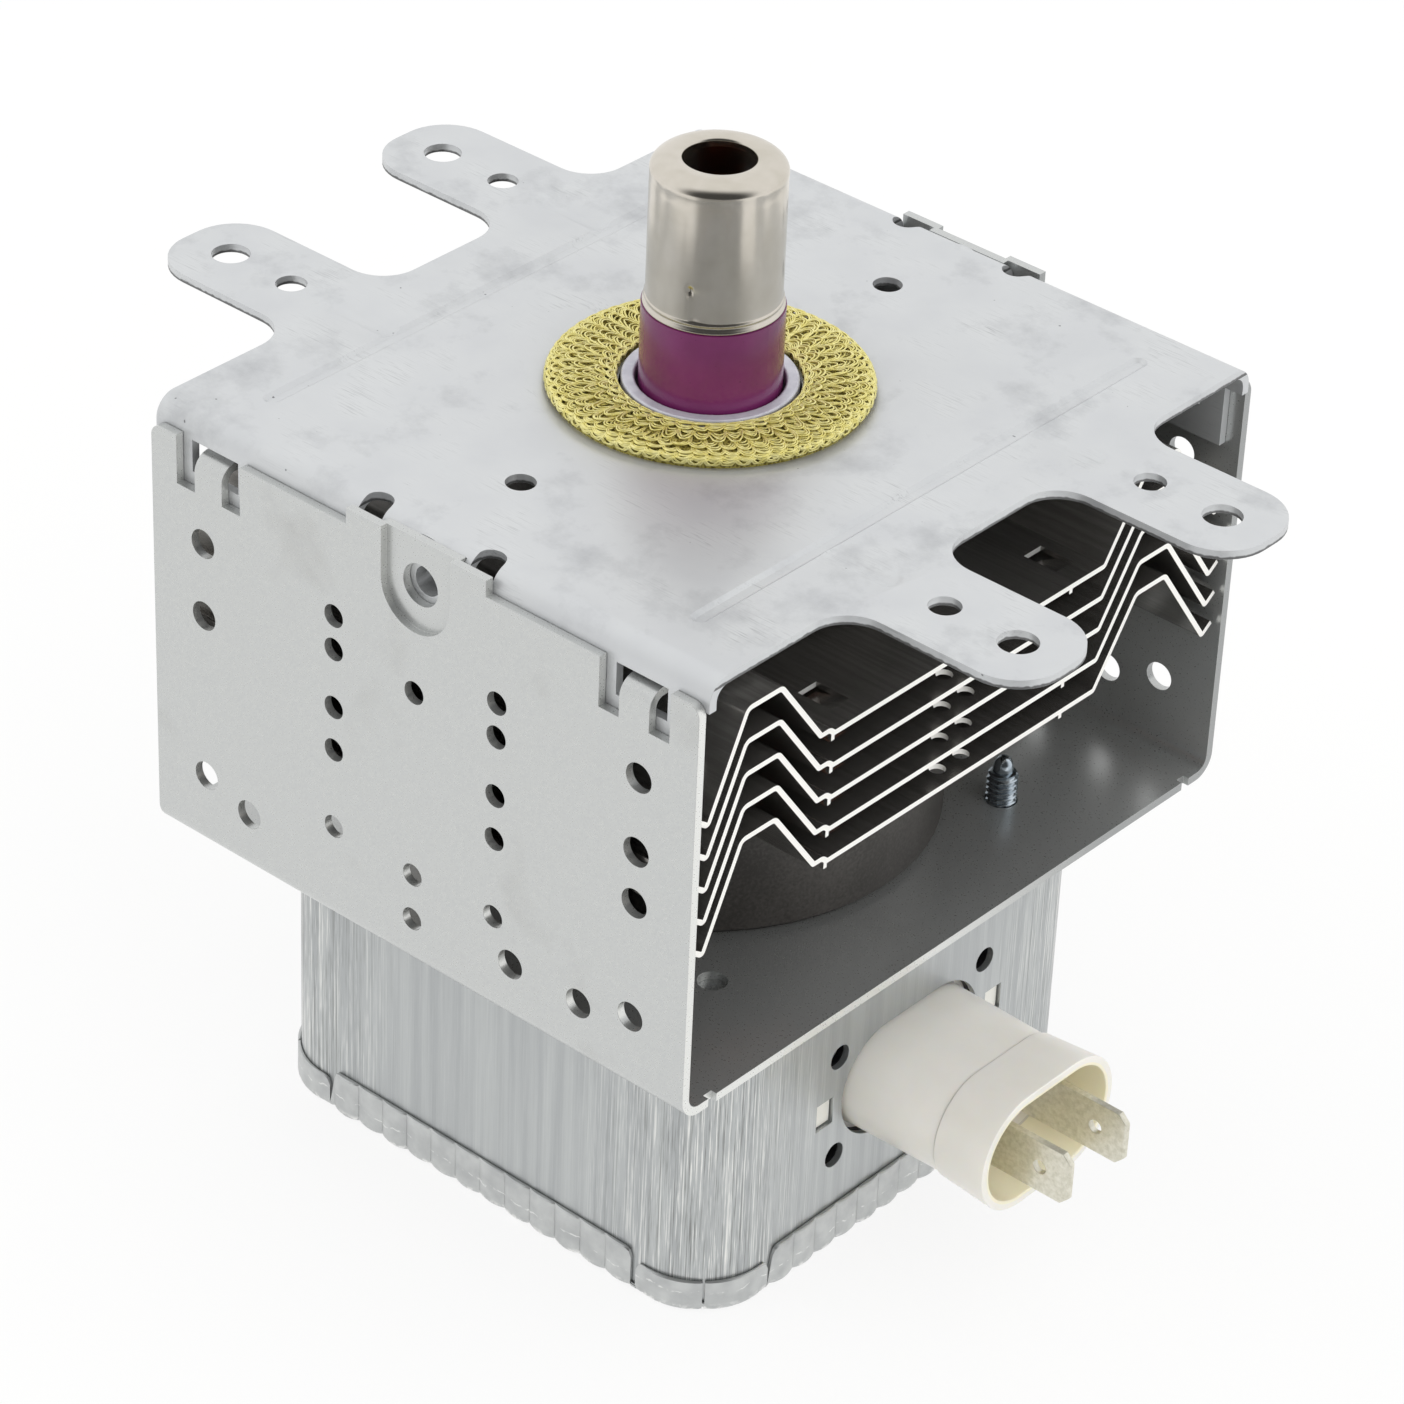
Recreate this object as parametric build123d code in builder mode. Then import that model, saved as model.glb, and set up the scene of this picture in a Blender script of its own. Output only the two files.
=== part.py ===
from build123d import *
import os
from math import cos, radians

# Magnetron for a microwave oven, in millimetres. The origin is the centre of the four ear holes
# on the upper face of the top plate. +Z runs up the antenna, +X is the way the cooling air
# leaves and the supply connector points, and the folded walls of the yoke stand at -Y and +Y.
os.makedirs("parts", exist_ok=True)

# Sheet steel of the yoke and the top plate
SHEET = 1.0
SEAT_GAP = 0.05  # clearance between folded sheets and round parts that sit in each other

# Top plate
PLATE_LENGTH = 75.0
PLATE_BEND_R = 2.5
FLANGE_DEPTH = 10.4
FLANGE_SETBACK = 2.2  # below the bend, from the plate's end to the flange's
FLANGE_SETBACK_DROP = 3.4
EAR_END = 6.0  # from the hole's centre to the ear's tip
EAR_WIDTH = 13.4
EAR_CORNER_R = 5.6
EAR_ROOT_R = 4.5
EAR_HOLE_SPAN_X = 107.0
EAR_HOLE_SPAN_Y = 32.4
EAR_HOLE_D = 4.2
PILOT_HOLE_SPAN_X = 88.9
PILOT_HOLE_D = 3.4
PLATE_HOLE_SPAN = 56.8
PLATE_HOLE_D = 3.2
BEAD_SPAN = 58.0
BEAD_LENGTH = 70.5
BEAD_WIDTH = 2.0
BEAD_DEPTH = 0.35
DART_LENGTH = 10.0
DART_WIDTH = 3.6
DISH_R = 19.4
DISH_DEPTH = 0.4
DISH_SLOPE = 1.4
RELIEF_SPAN = 15.2
RELIEF_R = 1.6
RELIEF_REACH = 1.6

# Yoke, a strip folded into a channel
YOKE_LENGTH = 74.4
YOKE_WIDTH = 86.9
YOKE_DEPTH = 51.9
YOKE_BEND_R = 2.6
WALL_DROP = 2.4
CROWN_DROP = 0.55
CROWN_WIDTH = 19.0
WALL_CORNER_R = 1.4
NICK_LENGTH = 1.2
NICK_DEPTH = 0.7
NICK_INSET = 4.6

# Tongues of the yoke that curl through slots in the plate's flanges
TONGUE_INSET = 8.2  # from the yoke's cut edge to the tongue's middle
TONGUE_WIDTH = 3.9
TONGUE_NOTCH = 9.1
TONGUE_NOTCH_DROP = 8.1
TONGUE_TOP = 3.7
TONGUE_BEND_R = 2.0
TONGUE_REACH = 3.4
SLOT_WIDTH = 6.6
SLOT_TOP = 2.9
SLOT_BOTTOM = 6.6

# Embossed screw seat in the middle of each wall
BOSS_R = 4.65
BOSS_CENTRE_DROP = 6.2
BOSS_DEPTH = 0.8
BOSS_HOLE_D = 4.7
BOSS_HOLE_DROP = 5.7
COLLAR_BORE_D = 3.3
COLLAR_WALL = 0.6
COLLAR_LENGTH = 1.6

# Holes punched through both walls, as (x, z)
SMALL_HOLE_D = 2.6
SMALL_HOLES = [(side * 11.2, z) for side in (-1, 1) for z in (-14.0, -18.0, -25.0, -30.2, -39.7)]
SMALL_HOLES += [(0, -18.0), (0, -40.2), (0, -45.7)]
LARGE_HOLE_D = 3.3
LARGE_HOLES = [(side * 29.9, z) for side in (-1, 1) for z in (-13.8, -22.5, -42.4)]
LARGE_HOLES += [(29.9, -28.6), (-23.6, -44.3), (13.7, -44.4), (23.0, -44.4)]

# Ring magnets
MAGNET_BORE_R = 10.6
UPPER_MAGNET_R = 22.4
UPPER_MAGNET_T = 12.2
LOWER_MAGNET_R = 27.0
LOWER_MAGNET_T = 13.2
MAGNET_EDGE = 0.8

# Anode, its vanes and the pole pieces
ANODE_R = 19.5
ANODE_WALL = 2.0
POLE_T = 1.5
POLE_NOSE_R = 5.6
POLE_BORE_R = 4.6
POLE_CONE_R = 13.5
POLE_GAP = 1.5
VANE_COUNT = 10
VANE_T = 1.9
VANE_HEIGHT = 9.5
VANE_TIP_R = 4.4
STRAP_GROOVE_DEPTH = 1.1
STRAP_HEIGHT = 0.9
STRAP_WALL = 0.8
STRAP_INNER_R = 6.0
STRAP_STEP = 1.4

# Cooling fins
FIN_COUNT = 5
FIN_T = 0.6
FIN_PITCH = 3.85
FIN_STACK_RISE = 1.85
FIN_LENGTH = 72.6
FIN_CREST = 9.2
FIN_BEND_R = 0.63
FIN_WALL_GAP = 0.45
FIN_COLLAR_T = 0.5
FIN_COLLAR_HEIGHT = 2.2
FIN_NEAR_MARGIN = 2.4  # flat sheet between the anode and the first fold
FIN_FAR_MARGIN = 1.9
FIN_KERB = 0.6
FIN_KERB_RAMP = 0.7
FIN_KERB_LENGTH = 1.4
FIN_CREST_LENGTH = 4.6
FIN_NEAR_WING = 7.0  # from the crest's outer fold to the fin's edge
FIN_FAR_WING = 9.8
FIN_TAIL_FLAT = 1.7
FIN_TAIL_DROP = 2.0
FIN_TAIL_RISE = 1.2
FIN_HOLE_D = 1.8
FIN_HOLE_SITES = (-1.8, 2.0)
FIN_HOLE_INSET = 2.2
FIN_LANCE_Y = 17.9
FIN_LANCE_INSET = 2.6
FIN_LANCE_LENGTH = 4.3
FIN_LANCE_WIDTH = 2.8
FIN_LANCE_DROP = 1.2
FIN_TICK_SITES = (-22.0, 15.7)
FIN_TICK = 0.5

# Output side: seal cup, ceramic, exhaust tube and cap
SEAL_R = 9.23
SEAL_WALL = 0.6
SEAL_RIM_BORE_R = 7.8
SEAL_RIM_TOP = 0.6
SEAL_RIM_HEIGHT = 1.4
SEAL_LEDGE_DROP = 4.0
SEAL_FOOT = 0.9
CERAMIC_R = 7.45
CERAMIC_BORE_R = 5.0
CERAMIC_TOP = 9.3
THIMBLE_R = 6.1
THIMBLE_WALL = 0.5
THIMBLE_HEIGHT = 4.5
EXHAUST_R = 2.9
EXHAUST_WALL = 0.7
EXHAUST_TOP = 22.6
PINCH_HEIGHT = 5.0
PINCH_T = 1.6
CAP_TOP = 25.9
CAP_R = 7.05
CAP_LIP_R = 7.35
CAP_LIP_HEIGHT = 1.0
CAP_EDGE_R = 2.8
CAP_WALL = 0.4
CAP_HOLE_D = 7.5
LEAD_R = 1.0
LEAD_FOOT_R = 10.5
LEAD_RISE = 4.3
LEAD_CROSS_R = 5.5
LEAD_BEND_R = 1.25
LEAD_HOLE_R = 2.3
LEAD_HOLE_X = 9.2

# Knitted brass gasket round the seal cup
GASKET_R = 17.2
GASKET_BORE_R = 9.4
GASKET_T = 1.4
GASKET_ROUND = 0.65

# Cathode and its stem
FILAMENT_R = 1.95
FILAMENT_WIRE_R = 0.28
FILAMENT_TURNS = 6
HAT_R = 3.6
HAT_T = 1.3
HAT_HUB_R = 1.5
HAT_HUB_LENGTH = 0.9
HAT_BORE_R = 1.15
CATHODE_LEAD_R = 0.75
CATHODE_LEAD_OFFSET = 2.6
STEM_CUP_R = 9.2
STEM_CUP_WALL = 0.6
STEM_CUP_BELOW_YOKE = 5.0
STEM_CERAMIC_R = 8.4
STEM_CERAMIC_HEIGHT = 7.0
STEM_PIN_SPAN = 9.0
STEM_PIN_REACH = 3.5

# Filter box, its crimped lid and its screws
BOX_LENGTH = 64.35
BOX_WIDTH = 62.4
BOX_SHIFT_X = -0.375
BOX_SHIFT_Y = -0.65
BOX_CORNER_R = 8.2
BOX_EDGE_R = 1.6
BOX_WALL = 0.8
BOX_HEIGHT = 36.4
LID_T = 0.6
LID_RIM_HEIGHT = 5.4
LID_CORNER_DROP = 1.3
LID_TAB = 9.9  # from the can's face to the split at the fluted run's end
LID_FLUTES = 12
LID_FLUTE_DEPTH = 0.35
LID_SPLIT = 0.5
SCREW_X = 25.0
SCREW_Y = 22.0
SCREW_R = 1.75
SCREW_HEAD_R = 3.3
SCREW_HEAD_T = 2.2
SCREW_STANDOUT = 5.6
SCREW_POINT = 1.2
SPARE_HOLE_X = 24.5
SPARE_HOLE_Y = 24.5
SPARE_HOLE_D = 3.2

# Supply connector with its feed-through capacitor
PLUG_Y = 0.21
PLUG_DROP = 18.43
PLUG_HALF_LENGTH = 10.45
PLUG_HALF_HEIGHT = 6.55
PLUG_DRAFT = 0.25
PLUG_GAP = 0.35
PLUG_END_GAP = 0.8
PLUG_SEAM = 11.8
SHROUD_LENGTH = 7.0
SHROUD_FLARE = 0.75
SHROUD_WALL = 1.1
SHROUD_DEPTH = 8.0
PLUG_FLANGE = 2.2
PLUG_FLANGE_T = 2.0
PLUG_TAIL = 9.0
PLUG_TAIL_WALL = 1.5
CAPACITOR_T = 6.5
GROUND_T = 0.8
GROUND_LENGTH = 34.0
GROUND_HEIGHT = 19.0
VENT_SPAN_Y = 24.0
VENT_SPAN_Z = 13.0
VENT_D = 2.9
WINDOW_SPAN = 28.0
WINDOW_WIDTH = 2.7
WINDOW_HEIGHT = 3.4
WINDOW_GAP = 0.4
BLADE_WIDTH = 6.35
BLADE_T = 0.8
BLADE_SPACING = 9.36
BLADE_STANDOUT = 6.9
BLADE_TAIL = 4.0
BLADE_CHAMFER = 1.1
BLADE_HOLE_D = 1.6
BLADE_HOLE_BACK = 4.0

# Chokes between the stem pins and the connector
CHOKE_TURNS = 6.5
CHOKE_WIRE_R = 0.7
CHOKE_PITCH = 2.2
CHOKE_Y = 14.0
CHOKE_DROP = 12.5
CHOKE_START_X = -12.0
CHOKE_TAIL = 5.0
CHOKE_TAIL_BEND_R = 1.4
CHOKE_JOG_X = -10.5
CHOKE_JOG_Y = 4.6
ROD_R = 2.5
ROD_OVERHANG = 2.5
ROD_GAP = 0.15

# Places that follow from the sizes
WALL_OUT = YOKE_WIDTH / 2
WALL_IN = WALL_OUT - SHEET
FLANGE_OUT = WALL_IN - SEAT_GAP
FLANGE_IN = FLANGE_OUT - SHEET
PLATE_FLAT = FLANGE_OUT - PLATE_BEND_R
EAR_Y = EAR_HOLE_SPAN_Y / 2
EAR_REACH = EAR_HOLE_SPAN_X / 2 + EAR_END
YOKE_BASE = -YOKE_DEPTH
YOKE_FLOOR = YOKE_BASE + SHEET
TONGUE_SPAN = YOKE_LENGTH - 2 * TONGUE_INSET
ANODE_TOP = -SHEET - UPPER_MAGNET_T
ANODE_BOTTOM = YOKE_FLOOR + LOWER_MAGNET_T
ANODE_MID = (ANODE_TOP + ANODE_BOTTOM) / 2
VANE_TOP = ANODE_MID + VANE_HEIGHT / 2
VANE_BOTTOM = ANODE_MID - VANE_HEIGHT / 2
BOX_TOP = YOKE_BASE
LID_BOTTOM = BOX_TOP - BOX_HEIGHT - LID_T
BOX_FACE = BOX_SHIFT_X + BOX_LENGTH / 2
BOX_FACE_IN = BOX_FACE - BOX_WALL
PLUG_Z = BOX_TOP - PLUG_DROP
SEAM_X = BOX_FACE + PLUG_SEAM
PLUG_FRONT = SEAM_X + SHROUD_LENGTH
BLADE_TIP = PLUG_FRONT + BLADE_STANDOUT
STEM_BASE = YOKE_BASE - STEM_CUP_BELOW_YOKE
STEM_END = STEM_BASE - STEM_CERAMIC_HEIGHT - STEM_PIN_REACH

pieces = {}


def tube(inner_r, outer_r, bottom, top):
    """A plain ring, or a disc where inner_r is 0, about the antenna axis."""
    with BuildSketch(Plane.XY.offset(bottom)) as ring:
        Circle(outer_r)
        if inner_r > 0:
            Circle(inner_r, mode=Mode.SUBTRACT)
    extrude(ring.sketch, amount=top - bottom)


def bent_rod(points, rod_r, bend_r):
    """A round rod along straight runs joined by arcs."""
    with BuildLine() as route:
        FilletPolyline(*points, radius=bend_r)
    with BuildSketch(Plane(origin=route.line @ 0, z_dir=route.line % 0)) as section:
        Circle(rod_r)
    sweep(section.sketch, path=route.line)


# Yoke: a folded channel with a shaped top edge
with BuildPart() as yoke:
    with BuildSketch(Plane.YZ):
        with BuildLine():
            FilletPolyline(
                (-WALL_OUT, -CROWN_DROP),
                (-WALL_OUT, YOKE_BASE),
                (WALL_OUT, YOKE_BASE),
                (WALL_OUT, -CROWN_DROP),
                radius=YOKE_BEND_R,
            )
            offset(amount=SHEET, side=Side.LEFT)
        make_face()
    extrude(amount=YOKE_LENGTH / 2, both=True)
    # The walls drop away from the crown in their middle, and are notched beside each tongue
    shoulder = (YOKE_LENGTH - CROWN_WIDTH) / 2
    with BuildSketch(Plane.XZ):
        with Locations(*[(side * (CROWN_WIDTH + shoulder) / 2, -WALL_DROP) for side in (-1, 1)]):
            Rectangle(shoulder, WALL_DROP, align=(Align.CENTER, Align.MIN))
        with Locations((-TONGUE_SPAN / 2, 0), (TONGUE_SPAN / 2, 0)):
            Rectangle(TONGUE_NOTCH, TONGUE_NOTCH_DROP, align=(Align.CENTER, Align.MAX))
    extrude(amount=YOKE_WIDTH, both=True, mode=Mode.SUBTRACT)
    corners = [
        edge
        for edge in yoke.edges().filter_by(Axis.Y)
        if abs(edge.center().Z + WALL_DROP) < SEAT_GAP and abs(edge.center().X) > YOKE_LENGTH / 2 - 1
    ]
    fillet(corners, WALL_CORNER_R)
    # The screw seat is pressed inwards: a pocket outside and a pad inside
    for side in (-1, 1):
        with BuildSketch(Plane.XZ.offset(-side * WALL_IN)):
            with BuildLine():
                RadiusArc((BOSS_R + SHEET / 2, -BOSS_CENTRE_DROP), (-BOSS_R - SHEET / 2, -BOSS_CENTRE_DROP),
                          BOSS_R + SHEET / 2)
                Polyline(
                    (-BOSS_R - SHEET / 2, -BOSS_CENTRE_DROP),
                    (-BOSS_R - SHEET / 2, -CROWN_DROP),
                    (BOSS_R + SHEET / 2, -CROWN_DROP),
                    (BOSS_R + SHEET / 2, -BOSS_CENTRE_DROP),
                )
            make_face()
        extrude(amount=side * BOSS_DEPTH)
        with BuildSketch(Plane.XZ.offset(-side * WALL_OUT)):
            with Locations((0, -BOSS_CENTRE_DROP)):
                Circle(BOSS_R)
                Rectangle(2 * BOSS_R, BOSS_CENTRE_DROP, align=(Align.CENTER, Align.MIN))
        extrude(amount=side * BOSS_DEPTH, mode=Mode.SUBTRACT)
    # Holes through both walls
    with BuildSketch(Plane.XZ):
        with Locations(*SMALL_HOLES):
            Circle(SMALL_HOLE_D / 2)
        with Locations(*LARGE_HOLES):
            Circle(LARGE_HOLE_D / 2)
        with Locations((0, -BOSS_HOLE_DROP)):
            Circle(BOSS_HOLE_D / 2)
    extrude(amount=YOKE_WIDTH, both=True, mode=Mode.SUBTRACT)
    # Each tongue rises from its notch and curls inwards over the slot's lower edge
    for wall in (-1, 1):
        for end in (-1, 1):
            with BuildSketch(Plane.YZ.offset(end * TONGUE_SPAN / 2 - TONGUE_WIDTH / 2)):
                with BuildLine():
                    FilletPolyline(
                        (wall * WALL_OUT, -TONGUE_NOTCH_DROP - SHEET),
                        (wall * WALL_OUT, -TONGUE_TOP),
                        (wall * (WALL_OUT - TONGUE_REACH), -TONGUE_TOP),
                        radius=TONGUE_BEND_R,
                    )
                    offset(amount=SHEET, side=Side.LEFT if wall > 0 else Side.RIGHT)
                make_face()
            extrude(amount=TONGUE_WIDTH)
    # The floor passes the cathode stem, two screws and two spare holes
    with Locations((0, 0, YOKE_FLOOR)):
        Hole(MAGNET_BORE_R, depth=SHEET)
    with Locations((SCREW_X, SCREW_Y, YOKE_FLOOR), (-SCREW_X, -SCREW_Y, YOKE_FLOOR)):
        Hole(SCREW_R + SEAT_GAP, depth=SHEET)
    with Locations((SPARE_HOLE_X, -SPARE_HOLE_Y, YOKE_FLOOR), (-SPARE_HOLE_X, SPARE_HOLE_Y, YOKE_FLOOR)):
        Hole(SPARE_HOLE_D / 2, depth=SHEET)
    # Bend relief nicks in the floor's two cut edges
    nick_y = WALL_OUT - NICK_INSET
    with BuildSketch(Plane.XY.offset(YOKE_BASE)):
        with Locations(*[(x * YOKE_LENGTH / 2, y * nick_y) for x in (-1, 1) for y in (-1, 1)]):
            Rectangle(2 * NICK_DEPTH, NICK_LENGTH)
    extrude(amount=SHEET, mode=Mode.SUBTRACT)
pieces["yoke"] = yoke

# Top plate: four ears, flanges folded down inside the yoke's walls
with BuildPart() as top_plate:
    with BuildSketch(Plane.YZ):
        with BuildLine():
            FilletPolyline(
                (-FLANGE_OUT, -FLANGE_DEPTH),
                (-FLANGE_OUT, 0),
                (FLANGE_OUT, 0),
                (FLANGE_OUT, -FLANGE_DEPTH),
                radius=PLATE_BEND_R,
            )
            offset(amount=SHEET, side=Side.RIGHT)
        make_face()
    extrude(amount=PLATE_LENGTH / 2, both=True)
    with BuildSketch(Plane.XY.offset(-FLANGE_SETBACK_DROP)):
        with GridLocations(PLATE_LENGTH, 2 * FLANGE_OUT, 2, 2):
            Rectangle(2 * FLANGE_SETBACK, 4 * SHEET)
    extrude(amount=-FLANGE_DEPTH, mode=Mode.SUBTRACT)
    with BuildSketch(Plane.XY.offset(-SHEET)) as outline:
        Rectangle(PLATE_LENGTH, 2 * PLATE_FLAT)
        with Locations((0, -EAR_Y), (0, EAR_Y)):
            Rectangle(2 * EAR_REACH, EAR_WIDTH)
        ear_tips = [v for v in outline.vertices() if abs(v.X) > EAR_REACH - SEAT_GAP]
        fillet(ear_tips, EAR_CORNER_R)
        ear_roots = [
            v
            for v in outline.vertices()
            if abs(abs(v.X) - PLATE_LENGTH / 2) < SEAT_GAP and abs(v.Y) < EAR_Y + EAR_WIDTH / 2 + SEAT_GAP
        ]
        fillet(ear_roots, EAR_ROOT_R)
    extrude(amount=SHEET)
    # Holes: ears, pilots beside them, two in the plate, and the output seal's
    with BuildSketch(Plane.XY):
        with GridLocations(EAR_HOLE_SPAN_X, EAR_HOLE_SPAN_Y, 2, 2):
            Circle(EAR_HOLE_D / 2)
        with GridLocations(PILOT_HOLE_SPAN_X, EAR_HOLE_SPAN_Y, 2, 2):
            Circle(PILOT_HOLE_D / 2)
        with GridLocations(0, PLATE_HOLE_SPAN, 1, 2):
            Circle(PLATE_HOLE_D / 2)
        Circle(GASKET_BORE_R + SEAT_GAP)
    extrude(amount=-SHEET, mode=Mode.SUBTRACT)
    # A coined dish seats the gasket
    with Locations((0, 0, -DISH_DEPTH / 2)):
        Cone(DISH_R - DISH_SLOPE, DISH_R, DISH_DEPTH, mode=Mode.SUBTRACT)
    # Stiffening beads: a groove above and the same ridge below
    dart_x = (BEAD_SPAN + DART_LENGTH) / 2
    beads = [(side * BEAD_SPAN / 2, 0, 90, BEAD_LENGTH, BEAD_WIDTH) for side in (-1, 1)]
    beads += [(x * dart_x, y * EAR_Y, 0, DART_LENGTH, DART_WIDTH) for x in (-1, 1) for y in (-1, 1)]
    for level, mode in ((-SHEET, Mode.ADD), (0, Mode.SUBTRACT)):
        for x, y, turn, length, width in beads:
            with BuildSketch(Plane.XY.offset(level)):
                with Locations((x, y)):
                    SlotOverall(length, width, rotation=turn)
            with BuildSketch(Plane.XY.offset(level - BEAD_DEPTH)):
                with Locations((x, y)):
                    SlotOverall(length - width / 2, width / 2, rotation=turn)
            loft(mode=mode)
    # Slots for the tongues, and the flange pressed inwards behind the screw seat
    for side in (-1, 1):
        seat_r = BOSS_R + SHEET / 2 + SEAT_GAP
        with BuildSketch(Plane.XZ.offset(-side * FLANGE_OUT)):
            with Locations((0, -BOSS_CENTRE_DROP)):
                Circle(seat_r + SHEET / 2)
                Rectangle(2 * seat_r + SHEET, BOSS_CENTRE_DROP - PLATE_BEND_R, align=(Align.CENTER, Align.MIN))
        extrude(amount=side * (SHEET + BOSS_DEPTH))
        with BuildSketch(Plane.XZ.offset(-side * FLANGE_OUT)):
            with Locations((0, -BOSS_CENTRE_DROP)):
                Circle(seat_r)
                Rectangle(2 * seat_r, BOSS_CENTRE_DROP, align=(Align.CENTER, Align.MIN))
        extrude(amount=side * BOSS_DEPTH, mode=Mode.SUBTRACT)
        inner = FLANGE_IN - BOSS_DEPTH
        with BuildSketch(Plane.XZ.offset(-side * inner)):
            with Locations((0, -BOSS_HOLE_DROP)):
                Circle(COLLAR_BORE_D / 2 + COLLAR_WALL)
        extrude(amount=side * COLLAR_LENGTH)
        with BuildSketch(Plane.XZ.offset(-side * WALL_IN)):
            with Locations((0, -BOSS_HOLE_DROP)):
                Circle(COLLAR_BORE_D / 2)
        extrude(amount=side * (WALL_IN - inner + COLLAR_LENGTH), mode=Mode.SUBTRACT)
    with BuildSketch(Plane.XZ):
        with Locations((-TONGUE_SPAN / 2, -SLOT_TOP), (TONGUE_SPAN / 2, -SLOT_TOP)):
            Rectangle(SLOT_WIDTH, SLOT_BOTTOM - SLOT_TOP, align=(Align.CENTER, Align.MAX))
    extrude(amount=WALL_OUT, both=True, mode=Mode.SUBTRACT)
    with BuildSketch(Plane.XY):
        with GridLocations(RELIEF_SPAN, 2 * FLANGE_OUT - RELIEF_REACH, 2, 2):
            SlotOverall(2 * RELIEF_R + RELIEF_REACH, 2 * RELIEF_R, rotation=90)
    extrude(amount=-2 * PLATE_BEND_R, mode=Mode.SUBTRACT)
pieces["top_plate"] = top_plate

# Magnets: pressed ferrite rings with broken edges
for name, outer_r, bottom, top in (
    ("upper_magnet", UPPER_MAGNET_R, ANODE_TOP, -SHEET),
    ("lower_magnet", LOWER_MAGNET_R, YOKE_FLOOR, ANODE_BOTTOM),
):
    with BuildPart() as magnet:
        tube(MAGNET_BORE_R, outer_r, bottom, top)
        chamfer(magnet.edges().filter_by(GeomType.CIRCLE), MAGNET_EDGE)
    pieces[name] = magnet

# Anode: a copper tube, its radial vanes and the straps that join every second vane
anode_bore_r = ANODE_R - ANODE_WALL
with BuildPart() as anode_cylinder:
    tube(anode_bore_r, ANODE_R, ANODE_BOTTOM + POLE_T, ANODE_TOP - POLE_T)
pieces["anode_cylinder"] = anode_cylinder

vane_end = (anode_bore_r**2 - (VANE_T / 2) ** 2) ** 0.5
strap_outer_r = STRAP_INNER_R + STRAP_STEP + STRAP_WALL
groove_play = STRAP_STEP - STRAP_WALL
with BuildPart() as anode_vanes:
    with BuildSketch(Plane.XY.offset(VANE_BOTTOM)):
        with PolarLocations(0, VANE_COUNT):
            with Locations((VANE_TIP_R, 0)):
                Rectangle(vane_end - VANE_TIP_R, VANE_T, align=(Align.MIN, Align.CENTER))
    extrude(amount=VANE_HEIGHT)
    for groove_bottom in (VANE_BOTTOM, VANE_TOP - STRAP_GROOVE_DEPTH):
        with BuildSketch(Plane.XY.offset(groove_bottom)):
            Circle(strap_outer_r + groove_play)
            Circle(STRAP_INNER_R - groove_play, mode=Mode.SUBTRACT)
        extrude(amount=STRAP_GROOVE_DEPTH, mode=Mode.SUBTRACT)
pieces["anode_vanes"] = anode_vanes

with BuildPart() as strap_rings:
    for ring_bottom in (VANE_BOTTOM + STRAP_GROOVE_DEPTH - STRAP_HEIGHT, VANE_TOP - STRAP_GROOVE_DEPTH):
        for ring_r in (STRAP_INNER_R, STRAP_INNER_R + STRAP_STEP):
            tube(ring_r, ring_r + STRAP_WALL, ring_bottom, ring_bottom + STRAP_HEIGHT)
pieces["strap_rings"] = strap_rings

# Pole pieces: dished steel discs that close the anode and focus the magnets on its core
for name, mirror_z, face_z in (("upper_pole_piece", 1, ANODE_TOP), ("lower_pole_piece", -1, ANODE_BOTTOM)):
    nose = (ANODE_TOP - ANODE_BOTTOM - VANE_HEIGHT) / 2 - POLE_GAP
    with BuildPart() as pole_piece:
        with BuildSketch(Plane.XZ):
            with BuildLine():
                Polyline(
                    (ANODE_R, face_z),
                    (POLE_CONE_R, face_z),
                    (POLE_NOSE_R, face_z - mirror_z * (nose - POLE_T)),
                    (POLE_BORE_R, face_z - mirror_z * (nose - POLE_T)),
                    (POLE_BORE_R, face_z - mirror_z * nose),
                    (POLE_NOSE_R, face_z - mirror_z * nose),
                    (POLE_CONE_R, face_z - mirror_z * POLE_T),
                    (ANODE_R, face_z - mirror_z * POLE_T),
                    close=True,
                )
            make_face()
        revolve(axis=Axis.Z)
        if mirror_z > 0:
            with BuildSketch(Plane.XY.offset(ANODE_MID)):
                with Locations((LEAD_HOLE_X, 0)):
                    Circle(LEAD_HOLE_R)
            extrude(amount=ANODE_TOP - ANODE_MID, mode=Mode.SUBTRACT)
    pieces[name] = pole_piece

# Cooling fins: one sheet each, flat across the anode and folded into an M at both walls
edge = WALL_IN - FIN_WALL_GAP
near_flat = ANODE_R + FIN_NEAR_MARGIN
near_kerb = near_flat + FIN_KERB_RAMP
near_crest = edge - FIN_NEAR_WING
far_flat = ANODE_R + FIN_FAR_MARGIN
far_crest = edge - FIN_FAR_WING
fin_profile = [
    (-edge, FIN_TAIL_RISE - FIN_TAIL_DROP),
    (-edge + FIN_TAIL_FLAT, -FIN_TAIL_DROP),
    (-near_crest, FIN_CREST),
    (-near_crest + FIN_CREST_LENGTH, FIN_CREST),
    (-near_kerb - FIN_KERB_LENGTH, FIN_KERB),
    (-near_kerb, FIN_KERB),
    (-near_flat, 0),
    (far_flat, 0),
    (far_crest - FIN_CREST_LENGTH, FIN_CREST),
    (far_crest, FIN_CREST),
    (edge - FIN_TAIL_FLAT, -FIN_TAIL_DROP),
    (edge, FIN_TAIL_RISE - FIN_TAIL_DROP),
]
lance_x = FIN_LENGTH / 2 - FIN_LANCE_INSET - FIN_LANCE_LENGTH / 2
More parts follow.
